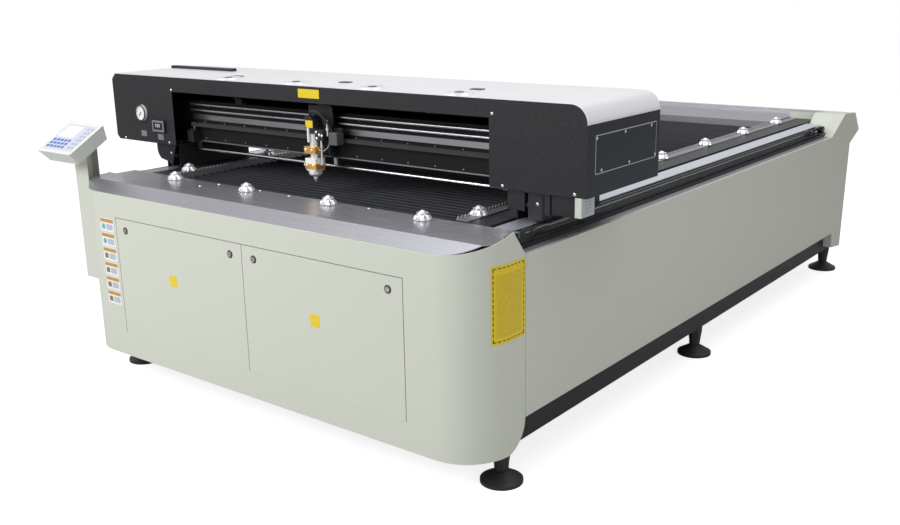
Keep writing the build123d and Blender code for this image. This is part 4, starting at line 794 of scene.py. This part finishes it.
piece("tube_clamp", head_block(1019.0, 64.0, 60.0, 26.0, 6.0, 2.0), amber, "head")
piece("insulator", head_block(979.0, 60.0, 56.0, 20.0, 6.0, 1.5), glazed_white, "lens")
piece("lens_block", head_block(957.5, 62.0, 58.0, 21.5, 6.0, 2.0), amber, "lens")
piece("lens_base", head_block(950.0, 56.0, 54.0, 7.5, 8.0, 1.5), nozzle_silver, "lens")
clamp_screws = HEAD + np.array([(x, -30.0, 1033.0) for x in (-20.0, 14.0)])
block_screws = HEAD + np.array([(x, -29.0, 972.0) for x in (-18.0, 16.0)])
piece("clamp_screws", turned(clamp_screws, FRONT, BUTTON), screw_zinc, "head")
piece("block_screws", turned(block_screws, FRONT, BUTTON), screw_zinc, "lens")

MOTOR_FACE = 414.0
WHITE_BAR = (-32.0, 403.0, 1090.0)
SIDE_ROD = (42.0, 432.0, 1088.0)
SIDE_MOTOR = (72.0, 466.0, 1079.0)
GUARD = (10.0, 455.8, 1160.0)
BRIDGE = (48.0, 467.5, 1112.0)
ROD = ((3.5, 0.0), (3.5, 20.0), (6.5, 21.0), (6.5, 30.0), (3.5, 31.0), (3.5, 62.0), (2.5, 63.0))
dot_spots = ((-2.0, 1102.0), (14.0, 1092.0), (28.0, 1090.0), (0.0, 1078.0))
dots = [(x, MOTOR_FACE, z) for x, z in dot_spots]
piece("white_bar", plates(WHITE_BAR, FRONT, 9.0, 56.0, 5.0, 2.0, 1.0), film_white, "head")
piece("motor_dots", turned(dots, FRONT, BUTTON), screw_zinc, "head")
piece("side_rod", turned(SIDE_ROD, TOP, ROD), nozzle_silver, "head")
piece("side_motor", plates(SIDE_MOTOR, FRONT, 44.0, 50.0, 38.0, 5.0, 1.5), motor_grey, "head")
piece("head_guard", plates(GUARD, FRONT, 92.0, 96.0, 8.0, 20.0, 2.0), motor_black, "head")
piece("motor_bridge", plates(BRIDGE, FRONT, 92.0, 14.0, 10.0, 3.0, 1.0), motor_black, "head")

THICK_HOSE = 4.0
THIN_HOSE = 3.2
WIRE = 1.8
FITTING_PLACE = (-58.0, 410.0, 972.0)
FITTING = ((4.5, 0.0), (4.5, 6.0), (6.0, 6.6), (6.0, 10.0), (3.0, 11.0))
high_arc = curve((-30.0, 415.0, 1160.0), (-34.0, 400.0, 1196.0), (40.0, 405.0, 1204.0),
                 (62.0, 440.0, 1100.0))
low_arc = curve((-14.0, 414.0, 1162.0), (-10.0, 410.0, 1186.0), (30.0, 418.0, 1190.0),
                (34.0, 440.0, 1110.0))
wire_arc = curve((30.0, 452.0, 1062.0), (46.0, 430.0, 1030.0), (22.0, 412.0, 1022.0),
                 (8.0, 408.0, 1040.0))
hoses = np.stack([tube(high_arc, THICK_HOSE), tube(low_arc, THIN_HOSE)])
piece("air_hoses", hoses, belt_rubber, "head")
piece("pale_wire", tube(wire_arc, WIRE)[None], film_pale, "head")
piece("side_fitting", turned(FITTING_PLACE, FRONT, FITTING), nozzle_silver, "lens")


# End block's plate. A grey perforated plate covers the block's right face; its holes are drawn as
# rows of small black discs of painted shade, and the block itself keeps the ivory coat in front.
END_FACE = np.array((1198.0, 441.0, 947.0))
HOLE_SHADE = ((2.2, -0.5), (2.2, 0.15), (1.8, 0.2))
hole_shades = [(2.0, -12.0 + 12.0 * i, -16.0 + 11.0 * j) for i in range(3) for j in range(4)]
hole_shades = END_FACE + np.array(hole_shades)
piece("perforated_plate", plates(END_FACE, RIGHT, 78.0, 64.0, 2.0, 2.0, 0.5), unit_grey, "gantry")
# Black discs on the plate: painted shade in its holes.
piece("plate_hole_shade", turned(hole_shades, RIGHT, HOLE_SHADE, 8), print_and_shade_black, "gantry")
